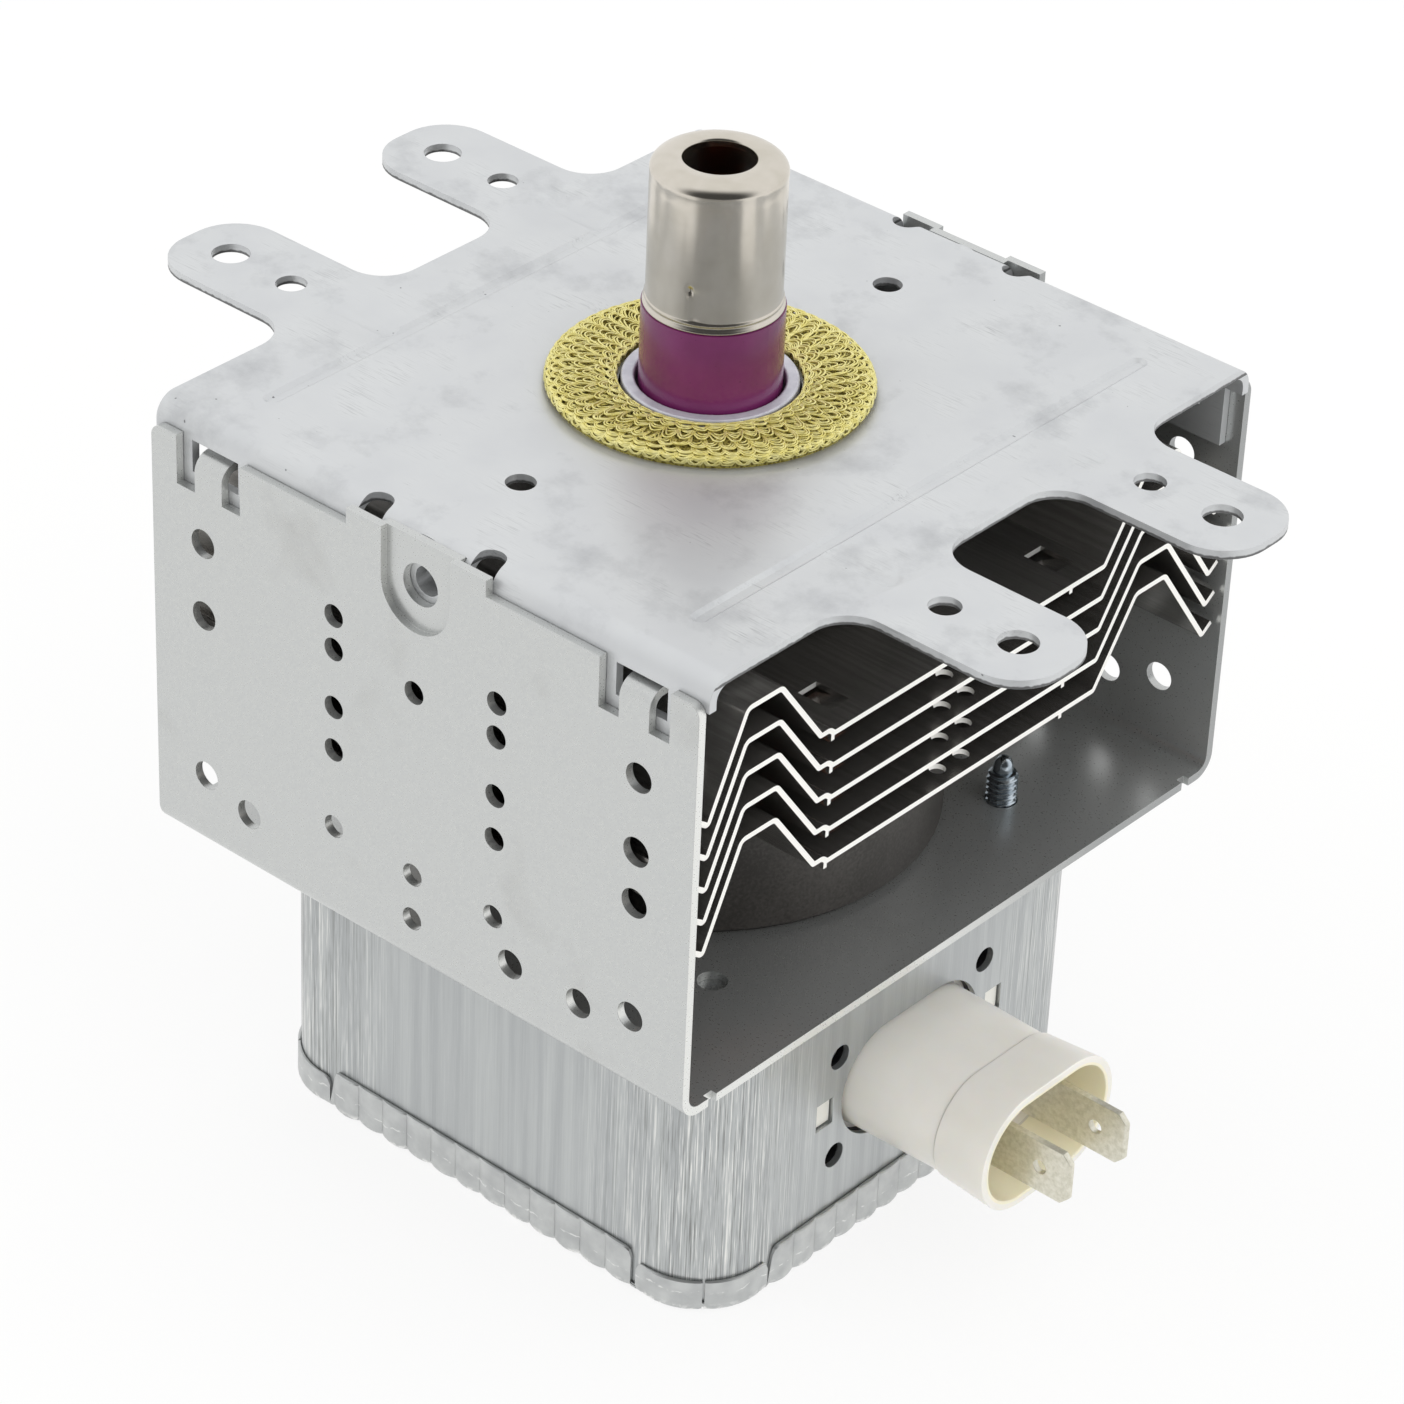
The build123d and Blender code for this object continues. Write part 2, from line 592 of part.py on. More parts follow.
for fin_number in range(1, FIN_COUNT + 1):
    level = ANODE_MID + FIN_STACK_RISE + ((FIN_COUNT + 1) / 2 - fin_number) * FIN_PITCH - FIN_T / 2
    with BuildPart() as cooling_fin:
        with BuildSketch(Plane.YZ):
            with BuildLine():
                FilletPolyline(*[(y, level + z) for y, z in fin_profile], radius=FIN_BEND_R)
                offset(amount=FIN_T, side=Side.LEFT)
            make_face()
        extrude(amount=FIN_LENGTH / 2, both=True)
        # A drawn collar grips the anode
        tube(ANODE_R, ANODE_R + SEAT_GAP + FIN_COLLAR_T, level, level + FIN_COLLAR_HEIGHT)
        with BuildSketch(Plane.XY.offset(level)):
            Circle(ANODE_R + SEAT_GAP)
            with Locations(*[(FIN_LENGTH / 2 - FIN_HOLE_INSET, y) for y in FIN_HOLE_SITES]):
                Circle(FIN_HOLE_D / 2)
            with Locations(*[(x * lance_x, y * FIN_LANCE_Y) for x in (-1, 1) for y in (-1, 1)]):
                Rectangle(FIN_LANCE_LENGTH, FIN_LANCE_WIDTH)
        extrude(amount=FIN_COLLAR_HEIGHT, mode=Mode.SUBTRACT)
        # Lanced spacers: a tongue of the sheet pressed down out of each window
        for end in (-1, 1):
            root = end * (lance_x + FIN_LANCE_LENGTH / 2)
            tip = end * (lance_x - FIN_LANCE_LENGTH / 2)
            for side in (-1, 1):
                with BuildSketch(Plane.XZ.offset(-side * FIN_LANCE_Y)):
                    with BuildLine():
                        Polyline(
                            (root, level),
                            (root, level + FIN_T),
                            (tip, level + FIN_T - FIN_LANCE_DROP),
                            (tip, level - FIN_LANCE_DROP),
                            close=True,
                        )
                    make_face()
                extrude(amount=FIN_LANCE_WIDTH / 2, both=True)
        # Small nibs under the cut edges
        with BuildSketch(Plane.XY.offset(level + FIN_T)):
            nib_x = (FIN_LENGTH - FIN_TICK) / 2
            with Locations(*[(x * nib_x, y) for x in (-1, 1) for y in FIN_TICK_SITES]):
                Rectangle(FIN_TICK, FIN_TICK)
        extrude(amount=-FIN_TICK - FIN_T)
    pieces[f"cooling_fin_{fin_number}"] = cooling_fin

# Output seal cup: brazed to the upper pole piece, its rolled rim shows inside the gasket
with BuildPart() as output_seal_cup:
    tube(SEAL_R - SEAL_WALL, SEAL_R, ANODE_TOP, SEAL_RIM_TOP)
    tube(SEAL_RIM_BORE_R, SEAL_R, SEAL_RIM_TOP - SEAL_RIM_HEIGHT, SEAL_RIM_TOP)
    tube(CERAMIC_BORE_R, SEAL_R, -SEAL_LEDGE_DROP - SEAL_FOOT, -SEAL_LEDGE_DROP)
    rim = output_seal_cup.faces().filter_by(Axis.Z).sort_by(Axis.Z)[-1]
    fillet(rim.edges(), SEAL_WALL / 2)
pieces["output_seal_cup"] = output_seal_cup

with BuildPart() as antenna_ceramic:
    tube(CERAMIC_BORE_R, CERAMIC_R, -SEAL_LEDGE_DROP, CERAMIC_TOP)
pieces["antenna_ceramic"] = antenna_ceramic

# A small metal thimble on the ceramic carries the exhaust tube
thimble_top = CERAMIC_TOP + THIMBLE_HEIGHT
with BuildPart() as antenna_thimble:
    tube(THIMBLE_R - THIMBLE_WALL, THIMBLE_R, CERAMIC_TOP, thimble_top)
    tube(EXHAUST_R + SEAT_GAP, THIMBLE_R, thimble_top - THIMBLE_WALL, thimble_top)
    brow = antenna_thimble.faces().filter_by(Axis.Z).sort_by(Axis.Z)[-1].edges().sort_by(SortBy.RADIUS)[-1]
    fillet(brow, THIMBLE_WALL * 0.8)
pieces["antenna_thimble"] = antenna_thimble

# Exhaust tube, pinched flat at its top
pinch_base = EXHAUST_TOP - PINCH_HEIGHT
with BuildPart() as exhaust_tube:
    tube(EXHAUST_R - EXHAUST_WALL, EXHAUST_R, thimble_top - 2 * THIMBLE_WALL, pinch_base)
    with BuildSketch(Plane.XY.offset(pinch_base)):
        Circle(EXHAUST_R)
    with BuildSketch(Plane.XY.offset(EXHAUST_TOP)):
        Ellipse(EXHAUST_R * 1.2, PINCH_T / 2)
    loft()
pieces["exhaust_tube"] = exhaust_tube

with BuildPart() as antenna_lead:
    bent_rod(
        [
            (LEAD_FOOT_R, 0, VANE_TOP),
            (LEAD_FOOT_R, 0, VANE_TOP + LEAD_RISE),
            (LEAD_CROSS_R, 0, ANODE_TOP + LEAD_R / 2),
            (0, 0, -SEAL_LEDGE_DROP),
            (0, 0, pinch_base),
        ],
        LEAD_R,
        LEAD_BEND_R,
    )
pieces["antenna_lead"] = antenna_lead

# Antenna cap: a drawn cup with a rolled top edge and a slight lip
with BuildPart() as antenna_cap:
    with BuildSketch(Plane.XZ) as cap_half:
        with BuildLine():
            Polyline(
                (0, CERAMIC_TOP),
                (CAP_LIP_R, CERAMIC_TOP),
                (CAP_LIP_R - CAP_WALL / 2, CERAMIC_TOP + CAP_LIP_HEIGHT),
                (CAP_R, CAP_TOP),
                (0, CAP_TOP),
                close=True,
            )
        make_face()
        shoulder_point = cap_half.vertices().sort_by(Axis.Y)[-2:].sort_by(Axis.X)[-1]
        fillet(shoulder_point, CAP_EDGE_R)
    revolve(axis=Axis.Z)
    offset(amount=-CAP_WALL, openings=antenna_cap.faces().sort_by(Axis.Z)[0])
    with Locations((0, 0, CAP_TOP)):
        Hole(CAP_HOLE_D / 2, depth=CAP_EDGE_R)
pieces["antenna_cap"] = antenna_cap

with BuildPart() as mesh_gasket:
    with BuildSketch(Plane.XZ):
        with Locations(((GASKET_R + GASKET_BORE_R) / 2, GASKET_T / 2 - DISH_DEPTH)):
            RectangleRounded(GASKET_R - GASKET_BORE_R, GASKET_T, GASKET_ROUND)
    revolve(axis=Axis.Z)
pieces["mesh_gasket"] = mesh_gasket

# Cathode: a coiled filament held between two end hats
with BuildPart() as cathode_filament:
    with BuildLine() as coil:
        Helix(
            pitch=(VANE_HEIGHT - 2 * FILAMENT_WIRE_R) / FILAMENT_TURNS,
            height=VANE_HEIGHT - 2 * FILAMENT_WIRE_R,
            radius=FILAMENT_R,
            center=(0, 0, VANE_BOTTOM + FILAMENT_WIRE_R),
        )
    with BuildSketch(Plane(origin=coil.line @ 0, z_dir=coil.line % 0)):
        Circle(FILAMENT_WIRE_R)
    sweep(path=coil.line, is_frenet=True)
pieces["cathode_filament"] = cathode_filament

with BuildPart() as upper_end_hat:
    tube(0.0, HAT_R, VANE_TOP, VANE_TOP + HAT_T)
    tube(0.0, HAT_HUB_R, VANE_TOP - HAT_HUB_LENGTH, VANE_TOP)
pieces["upper_end_hat"] = upper_end_hat

with BuildPart() as lower_end_hat:
    tube(HAT_BORE_R, HAT_R, VANE_BOTTOM - HAT_T, VANE_BOTTOM)
    tube(HAT_BORE_R, HAT_HUB_R, VANE_BOTTOM, VANE_BOTTOM + HAT_HUB_LENGTH)
pieces["lower_end_hat"] = lower_end_hat

splay_z = (ANODE_BOTTOM + YOKE_FLOOR) / 2
for name, start_x, start_z, pin_x in (
    ("centre_cathode_lead", 0, VANE_TOP - HAT_HUB_LENGTH, -STEM_PIN_SPAN / 2),
    ("side_cathode_lead", CATHODE_LEAD_OFFSET, VANE_BOTTOM - HAT_T, STEM_PIN_SPAN / 2),
):
    with BuildPart() as cathode_lead:
        bent_rod(
            [(start_x, 0, start_z), (start_x, 0, splay_z), (pin_x, 0, YOKE_BASE), (pin_x, 0, STEM_END)],
            CATHODE_LEAD_R,
            2 * CATHODE_LEAD_R,
        )
    pieces[name] = cathode_lead

# Stem: a metal cup through the lower magnet and a ceramic plug that holds the two pins
with BuildPart() as stem_seal_cup:
    tube(STEM_CUP_R - STEM_CUP_WALL, STEM_CUP_R, STEM_BASE, ANODE_BOTTOM)
    tube(STEM_CERAMIC_R - 2 * STEM_CUP_WALL, STEM_CUP_R, STEM_BASE, STEM_BASE + STEM_CUP_WALL)
pieces["stem_seal_cup"] = stem_seal_cup

with BuildPart() as stem_ceramic:
    tube(0.0, STEM_CERAMIC_R, STEM_BASE - STEM_CERAMIC_HEIGHT, STEM_BASE)
    with BuildSketch(Plane.XY.offset(STEM_BASE - STEM_CERAMIC_HEIGHT)):
        Circle(STEM_CERAMIC_R - STEM_CUP_WALL)
        Circle(STEM_PIN_SPAN / 2 + 2 * CATHODE_LEAD_R, mode=Mode.SUBTRACT)
    extrude(amount=STEM_CERAMIC_HEIGHT / 3, mode=Mode.SUBTRACT)
    with BuildSketch(Plane.XY.offset(STEM_BASE)):
        with GridLocations(STEM_PIN_SPAN, 0, 2, 1):
            Circle(CATHODE_LEAD_R + SEAT_GAP)
    extrude(amount=-STEM_CERAMIC_HEIGHT, mode=Mode.SUBTRACT)
pieces["stem_ceramic"] = stem_ceramic

# Filter box: a drawn can, screwed under the yoke by its closed end
box_centre = (BOX_SHIFT_X, BOX_SHIFT_Y)
plug_sites = [(PLUG_Y + y * VENT_SPAN_Y / 2, PLUG_Z + z * VENT_SPAN_Z / 2) for y in (-1, 1) for z in (-1, 1)]
window_sites = [(PLUG_Y + y * WINDOW_SPAN / 2, PLUG_Z) for y in (-1, 1)]
with BuildPart() as filter_box:
    with BuildSketch(Plane.XY.offset(BOX_TOP)):
        with Locations(box_centre):
            RectangleRounded(BOX_LENGTH, BOX_WIDTH, BOX_CORNER_R)
    extrude(amount=-BOX_HEIGHT)
    fillet(filter_box.faces().sort_by(Axis.Z)[-1].edges(), BOX_EDGE_R)
    offset(amount=-BOX_WALL, openings=filter_box.faces().sort_by(Axis.Z)[0])
    with BuildSketch(Plane.XY.offset(BOX_TOP)):
        Circle(MAGNET_BORE_R)
        with Locations((SCREW_X, SCREW_Y), (-SCREW_X, -SCREW_Y)):
            Circle(SCREW_R + PLUG_GAP)
    extrude(amount=-BOX_WALL, mode=Mode.SUBTRACT)
    with BuildSketch(Plane.YZ.offset(BOX_FACE)):
        with Locations((PLUG_Y, PLUG_Z)):
            SlotOverall(2 * (PLUG_HALF_LENGTH + PLUG_END_GAP), 2 * (PLUG_HALF_HEIGHT + PLUG_GAP))
        with Locations(*plug_sites):
            Circle(VENT_D / 2)
        with Locations(*window_sites):
            Rectangle(WINDOW_WIDTH, WINDOW_HEIGHT)
    extrude(amount=-BOX_WALL, mode=Mode.SUBTRACT)
pieces["filter_box"] = filter_box

# Lid: a tray whose rim is folded up round the can, fluted along the flats and split at the corners
rim_x = BOX_LENGTH / 2 + SEAT_GAP
rim_y = BOX_WIDTH / 2 + SEAT_GAP
run_x = BOX_LENGTH / 2 - LID_TAB
run_y = BOX_WIDTH / 2 - LID_TAB
rim_t = LID_T - LID_FLUTE_DEPTH / 2
rim_corner_r = BOX_CORNER_R + SEAT_GAP + rim_t
lid_sides = [
    (Vector(-run_x, -rim_y - rim_t), Vector(run_x, -rim_y - rim_t), Vector(0, -1)),
    (Vector(rim_x + rim_t, -run_y), Vector(rim_x + rim_t, run_y), Vector(1, 0)),
    (Vector(run_x, rim_y + rim_t), Vector(-run_x, rim_y + rim_t), Vector(0, 1)),
    (Vector(-rim_x - rim_t, run_y), Vector(-rim_x - rim_t, -run_y), Vector(-1, 0)),
]
lid_plane = Plane((BOX_SHIFT_X, BOX_SHIFT_Y, LID_BOTTOM))
with BuildPart() as filter_box_lid:
    with BuildSketch(lid_plane):
        with BuildLine():
            for number, (start, end, outward) in enumerate(lid_sides):
                flute = (end - start) / LID_FLUTES
                for step in range(LID_FLUTES):
                    left = start + flute * step
                    ThreePointArc(left, left + flute / 2 + outward * LID_FLUTE_DEPTH, left + flute)
                next_start = lid_sides[(number + 1) % len(lid_sides)][0]
                next_outward = lid_sides[(number + 1) % len(lid_sides)][2]
                corner_start = end + next_outward * (LID_TAB - BOX_CORNER_R)
                corner_end = next_start + outward * (LID_TAB - BOX_CORNER_R)
                centre = corner_start - outward * rim_corner_r
                corner_middle = centre + (outward + next_outward).normalized() * rim_corner_r
                Line(end, corner_start)
                ThreePointArc(corner_start, corner_middle, corner_end)
                Line(corner_end, next_start)
        make_face()
    extrude(amount=LID_RIM_HEIGHT)
    with BuildSketch(lid_plane.offset(LID_T)):
        RectangleRounded(2 * rim_x, 2 * rim_y, BOX_CORNER_R + SEAT_GAP)
    extrude(amount=LID_RIM_HEIGHT, mode=Mode.SUBTRACT)
    # The corner tabs stand lower than the fluted runs, with a split at each end and one in the middle
    with BuildSketch(lid_plane.offset(LID_RIM_HEIGHT - LID_CORNER_DROP)):
        with GridLocations(2 * (rim_x + rim_t), 2 * (rim_y + rim_t), 2, 2):
            Rectangle(2 * (LID_TAB + SEAT_GAP + rim_t), 2 * (LID_TAB + SEAT_GAP + rim_t))
    extrude(amount=LID_CORNER_DROP, mode=Mode.SUBTRACT)
    with BuildSketch(lid_plane.offset(LID_T)):
        with GridLocations(2 * run_x, 2 * rim_y, 2, 2):
            Rectangle(LID_SPLIT, 4 * LID_T)
        with GridLocations(2 * rim_x, 2 * run_y, 2, 2):
            Rectangle(4 * LID_T, LID_SPLIT)
        for x in (-1, 1):
            for y in (-1, 1):
                inset = rim_corner_r * (1 - cos(radians(45)))
                with Locations((x * (rim_x + rim_t - inset), y * (rim_y + rim_t - inset))):
                    Rectangle(4 * LID_T, LID_SPLIT / 2, rotation=x * y * 45)
    extrude(amount=LID_RIM_HEIGHT, mode=Mode.SUBTRACT)
pieces["filter_box_lid"] = filter_box_lid

# Two self-tapping screws, driven from inside the can, stand up through the yoke's floor
head_top = BOX_TOP - BOX_WALL
with BuildPart() as box_screws:
    screw_plane = Plane.XY.offset(head_top)
    with BuildSketch(screw_plane):
        with Locations((SCREW_X, SCREW_Y), (-SCREW_X, -SCREW_Y)):
            Circle(SCREW_HEAD_R)
    extrude(amount=-SCREW_HEAD_T)
    fillet(box_screws.faces().sort_by(Axis.Z)[:2].edges(), SCREW_HEAD_T / 2)
    with BuildSketch(screw_plane):
        with Locations((SCREW_X, SCREW_Y), (-SCREW_X, -SCREW_Y)):
            Circle(SCREW_R)
    extrude(amount=YOKE_FLOOR + SCREW_STANDOUT - head_top)
    chamfer(box_screws.faces().sort_by(Axis.Z)[-2:].edges(), SCREW_POINT, SCREW_POINT / 2)
    with BuildSketch(screw_plane.offset(-SCREW_HEAD_T)):
        for x, y in ((SCREW_X, SCREW_Y), (-SCREW_X, -SCREW_Y)):
            with Locations((x, y)):
                Rectangle(SCREW_HEAD_R, SCREW_HEAD_T / 3)
                Rectangle(SCREW_HEAD_T / 3, SCREW_HEAD_R)
    extrude(amount=SCREW_HEAD_T / 2, mode=Mode.SUBTRACT)
pieces["box_screws"] = box_screws

# Connector: a moulded body through the can's wall, with a flared shroud round the two blades
flange_front = BOX_FACE_IN - GROUND_T
flange_back = flange_front - PLUG_FLANGE_T
tail_back = flange_back - PLUG_TAIL
blade_ys = [PLUG_Y + side * BLADE_SPACING / 2 for side in (-1, 1)]
tail_half_length = PLUG_HALF_LENGTH - PLUG_TAIL_WALL / 2
tail_half_height = PLUG_HALF_HEIGHT - PLUG_TAIL_WALL / 2


def plug_section(x, half_length, half_height):
    """The connector's oval section on a plane across +X."""
    with BuildSketch(Plane((x, PLUG_Y, PLUG_Z), x_dir=(0, 1, 0), z_dir=(1, 0, 0))) as oval:
        SlotOverall(2 * half_length, 2 * half_height)
    return oval.sketch


with BuildPart() as connector_body:
    extrude(plug_section(tail_back, tail_half_length, tail_half_height), amount=PLUG_TAIL)
    extrude(
        plug_section(flange_back, PLUG_HALF_LENGTH + PLUG_FLANGE, PLUG_HALF_HEIGHT + PLUG_FLANGE),
        amount=PLUG_FLANGE_T,
    )
    seam_half_length = PLUG_HALF_LENGTH - PLUG_DRAFT
    seam_half_height = PLUG_HALF_HEIGHT - PLUG_DRAFT
    loft([
        plug_section(flange_front, PLUG_HALF_LENGTH, PLUG_HALF_HEIGHT),
        plug_section(SEAM_X, seam_half_length, seam_half_height),
    ])
    front_half_length = PLUG_HALF_LENGTH - PLUG_DRAFT + SHROUD_FLARE
    front_half_height = PLUG_HALF_HEIGHT - PLUG_DRAFT + SHROUD_FLARE
    loft([
        plug_section(SEAM_X, PLUG_HALF_LENGTH, PLUG_HALF_HEIGHT),
        plug_section(PLUG_FRONT, front_half_length, front_half_height),
    ])
    # The shroud's well, and the chamber for the capacitor at the back
    loft(
        [
            plug_section(
                PLUG_FRONT - SHROUD_DEPTH, PLUG_HALF_LENGTH - SHROUD_WALL - PLUG_DRAFT,
                PLUG_HALF_HEIGHT - SHROUD_WALL - PLUG_DRAFT,
            ),
            plug_section(PLUG_FRONT, front_half_length - SHROUD_WALL, front_half_height - SHROUD_WALL),
        ],
        mode=Mode.SUBTRACT,
    )
    chamber = plug_section(tail_back, tail_half_length - PLUG_TAIL_WALL, tail_half_height - PLUG_TAIL_WALL)
    extrude(chamber, amount=CAPACITOR_T, mode=Mode.SUBTRACT)
    with BuildSketch(Plane.YZ.offset(tail_back)):
        with Locations(*[(y, PLUG_Z) for y in blade_ys]):
            Rectangle(BLADE_T + 2 * SEAT_GAP, BLADE_WIDTH + 2 * SEAT_GAP)
    extrude(amount=PLUG_FRONT - tail_back, mode=Mode.SUBTRACT)
pieces["connector_body"] = connector_body

with BuildPart() as feedthrough_capacitor:
    core = plug_section(
        tail_back, tail_half_length - PLUG_TAIL_WALL - SEAT_GAP, tail_half_height - PLUG_TAIL_WALL - SEAT_GAP
    )
    extrude(core, amount=CAPACITOR_T)
    with BuildSketch(Plane.YZ.offset(tail_back)):
        with Locations(*[(y, PLUG_Z) for y in blade_ys]):
            Rectangle(BLADE_T + 2 * SEAT_GAP, BLADE_WIDTH + 2 * SEAT_GAP)
    extrude(amount=CAPACITOR_T, mode=Mode.SUBTRACT)
pieces["feedthrough_capacitor"] = feedthrough_capacitor

# Ground plate: tinned sheet inside the can, two of its tabs show in the can's windows
with BuildPart() as ground_plate:
    with BuildSketch(Plane((flange_front, PLUG_Y, PLUG_Z), x_dir=(0, 1, 0), z_dir=(1, 0, 0))):
        RectangleRounded(GROUND_LENGTH, GROUND_HEIGHT, VENT_D)
        with GridLocations(VENT_SPAN_Y, VENT_SPAN_Z, 2, 2):
            Circle(VENT_D / 2, mode=Mode.SUBTRACT)
        SlotOverall(
            2 * (PLUG_HALF_LENGTH + PLUG_END_GAP), 2 * (PLUG_HALF_HEIGHT + PLUG_GAP), mode=Mode.SUBTRACT
        )
    extrude(amount=GROUND_T)
    with BuildSketch(Plane.YZ.offset(BOX_FACE_IN)):
        with Locations(*window_sites):
            Rectangle(WINDOW_WIDTH - WINDOW_GAP, WINDOW_HEIGHT - WINDOW_GAP)
    extrude(amount=BOX_WALL / 2)
pieces["ground_plate"] = ground_plate

# Blades: flat tabs with chamfered tips and a detent hole
blade_back = tail_back - BLADE_TAIL
for number, blade_y in enumerate(blade_ys, start=1):
    with BuildPart() as terminal_blade:
        with BuildSketch(Plane.XZ.offset(-blade_y)) as blade_face:
            with Locations(((blade_back + BLADE_TIP) / 2, PLUG_Z)):
                Rectangle(BLADE_TIP - blade_back, BLADE_WIDTH)
            chamfer(blade_face.vertices().group_by(Axis.X)[-1], BLADE_CHAMFER)
            with Locations((BLADE_TIP - BLADE_HOLE_BACK, PLUG_Z)):
                Circle(BLADE_HOLE_D / 2, mode=Mode.SUBTRACT)
        extrude(amount=BLADE_T / 2, both=True)
        tip_edges = terminal_blade.edges().group_by(Axis.X)[-1].filter_by(Axis.Z)
        chamfer(tip_edges, BLADE_T / 4)
    pieces[f"terminal_blade_{number}"] = terminal_blade

# Chokes: enamelled wire wound on ferrite rods, one in each supply line
choke_z = BOX_TOP - CHOKE_DROP
choke_length = CHOKE_TURNS * CHOKE_PITCH
coil_r = ROD_R + ROD_GAP + CHOKE_WIRE_R
for number, side in enumerate((-1, 1), start=1):
    axis_start = (CHOKE_START_X, side * CHOKE_Y, choke_z)
    with BuildPart() as ferrite_rod:
        with BuildSketch(Plane.YZ.offset(CHOKE_START_X - ROD_OVERHANG)):
            with Locations((side * CHOKE_Y, choke_z)):
                Circle(ROD_R)
        extrude(amount=choke_length + 2 * ROD_OVERHANG)
        chamfer(ferrite_rod.edges().filter_by(GeomType.CIRCLE), ROD_R / 6)
    pieces[f"ferrite_rod_{number}"] = ferrite_rod

    with BuildPart() as choke_coil:
        with BuildLine() as coil:
            Helix(CHOKE_PITCH, choke_length, coil_r, center=axis_start, direction=(1, 0, 0), lefthand=side > 0)
        with BuildSketch(Plane(origin=coil.line @ 0, z_dir=coil.line % 0)):
            Circle(CHOKE_WIRE_R)
        sweep(path=coil.line, is_frenet=True)
        # One tail lies against the stem pin, the other against the blade's end
        tail_start = coil.line @ 0
        tail_end = coil.line @ 1
        pin_side = side * (CATHODE_LEAD_R + CHOKE_WIRE_R)
        blade_side = blade_ys[number - 1] + side * (BLADE_T / 2 + CHOKE_WIRE_R)
        bent_rod(
            [
                tail_start,
                tail_start - (coil.line % 0) * CHOKE_TAIL,
                (CHOKE_JOG_X, side * CHOKE_JOG_Y, STEM_END + CHOKE_WIRE_R),
                (side * STEM_PIN_SPAN / 2, pin_side, STEM_END + CHOKE_WIRE_R),
            ],
            CHOKE_WIRE_R,
            CHOKE_TAIL_BEND_R,
        )
        bent_rod(
            [
                tail_end,
                tail_end + (coil.line % 1) * CHOKE_TAIL,
                (blade_back - CHOKE_TAIL_BEND_R, blade_side, PLUG_Z),
                (tail_back - SEAT_GAP, blade_side, PLUG_Z),
            ],
            CHOKE_WIRE_R,
            CHOKE_TAIL_BEND_R,
        )
    pieces[f"choke_coil_{number}"] = choke_coil

for name, piece in pieces.items():
    piece.part.label = name
    export_step(piece.part, f"parts/{name}.step")
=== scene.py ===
import bpy
import bmesh
import math
from mathutils import Matrix, Vector, noise


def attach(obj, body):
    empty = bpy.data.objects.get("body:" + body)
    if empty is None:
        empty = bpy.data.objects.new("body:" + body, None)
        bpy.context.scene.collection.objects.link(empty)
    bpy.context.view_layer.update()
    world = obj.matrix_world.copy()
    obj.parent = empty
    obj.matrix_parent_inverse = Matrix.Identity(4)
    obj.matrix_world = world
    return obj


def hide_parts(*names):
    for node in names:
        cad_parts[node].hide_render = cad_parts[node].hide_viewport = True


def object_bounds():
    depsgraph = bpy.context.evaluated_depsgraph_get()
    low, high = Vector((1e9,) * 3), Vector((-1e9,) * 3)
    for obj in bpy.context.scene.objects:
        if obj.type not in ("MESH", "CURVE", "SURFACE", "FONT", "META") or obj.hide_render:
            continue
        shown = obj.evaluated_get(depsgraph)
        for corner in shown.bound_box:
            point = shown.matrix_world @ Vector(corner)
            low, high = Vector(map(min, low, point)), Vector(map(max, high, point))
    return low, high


# Looks of a microwave oven's magnetron, in metres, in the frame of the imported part.
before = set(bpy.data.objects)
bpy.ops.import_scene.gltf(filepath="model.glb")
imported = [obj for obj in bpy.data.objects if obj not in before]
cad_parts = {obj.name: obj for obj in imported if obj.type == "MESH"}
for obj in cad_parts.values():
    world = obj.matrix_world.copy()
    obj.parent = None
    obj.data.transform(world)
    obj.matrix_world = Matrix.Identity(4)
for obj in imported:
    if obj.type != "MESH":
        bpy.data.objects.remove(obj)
cad_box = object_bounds()

MM = 0.001
WELD = 1e-6

# Camera, solved from the corners and holes of the plate and the yoke
CAMERA_PLACE = Vector((0.308067, -0.364773, 0.278215))
CAMERA_AZIMUTH = math.radians(40.108)
CAMERA_ELEVATION = math.radians(33.654)
CAMERA_ROLL = math.radians(2.551)
CAMERA_LENS = 137.95
CAMERA_SENSOR = 36.0

# The studio: in reflections it is dim on the side where the photograph was taken
DAYLIGHT = 0.82
FLOOR_GLOW = 0.85
DIM_SIDE = 0.06
DIM_WAY = Vector((math.sin(CAMERA_AZIMUTH), -math.cos(CAMERA_AZIMUTH), 0))
DIM_RISE = Vector((0, 0, 0.35))
FLOOR_SIZE = 3.0
FLOOR_GAP = 0.02 * MM  # keeps the lid's underside and the floor out of one plane
SOFTBOXES = {  # place and side in metres, power in watts
    "softbox_left": ((-1.0, -1.2, 1.3), 1.4, 6.5),
    "softbox_right": ((1.4, -0.3, 1.2), 1.4, 6.5),
    "softbox_top": ((0.1, 0.4, 1.8), 1.6, 7.5),
}

# The knitted gasket: its ring, its wire and its loops
GASKET_INNER = 9.4 * MM
GASKET_OUTER = 17.2 * MM
GASKET_FOOT = -0.4 * MM
GASKET_TOP = 0.86 * MM
GASKET_EDGE = 0.12 * MM
GASKET_ARC = 1.18  # from the ring's top to its side, in half widths
GASKET_FULL_SIDE = 0.75  # 1 would be a round section, and less is fuller
GASKET_FLAT_TOP = 0.42
GASKET_CORE_IN = 0.2 * MM
GASKET_CORE_DOWN = 0.3 * MM
GASKET_WIRE = 0.21 * MM
GASKET_TWIN = 1.15 * GASKET_WIRE
GASKET_STITCH = 1.6 * MM
GASKET_ROW = 1.1 * MM
GASKET_SWING = 1.3  # how far a loop swings along its row, in radians of its stitch
GASKET_REACH = 0.6  # how far it reaches across, in rows
GASKET_HEAVE = 0.14 * MM
GASKET_LUMP = 0.16 * MM
GASKET_LUMP_SIZE = 0.6 * MM
GASKET_SEED = 7  # Blender seeds its vector noise from the clock unless it is given a seed

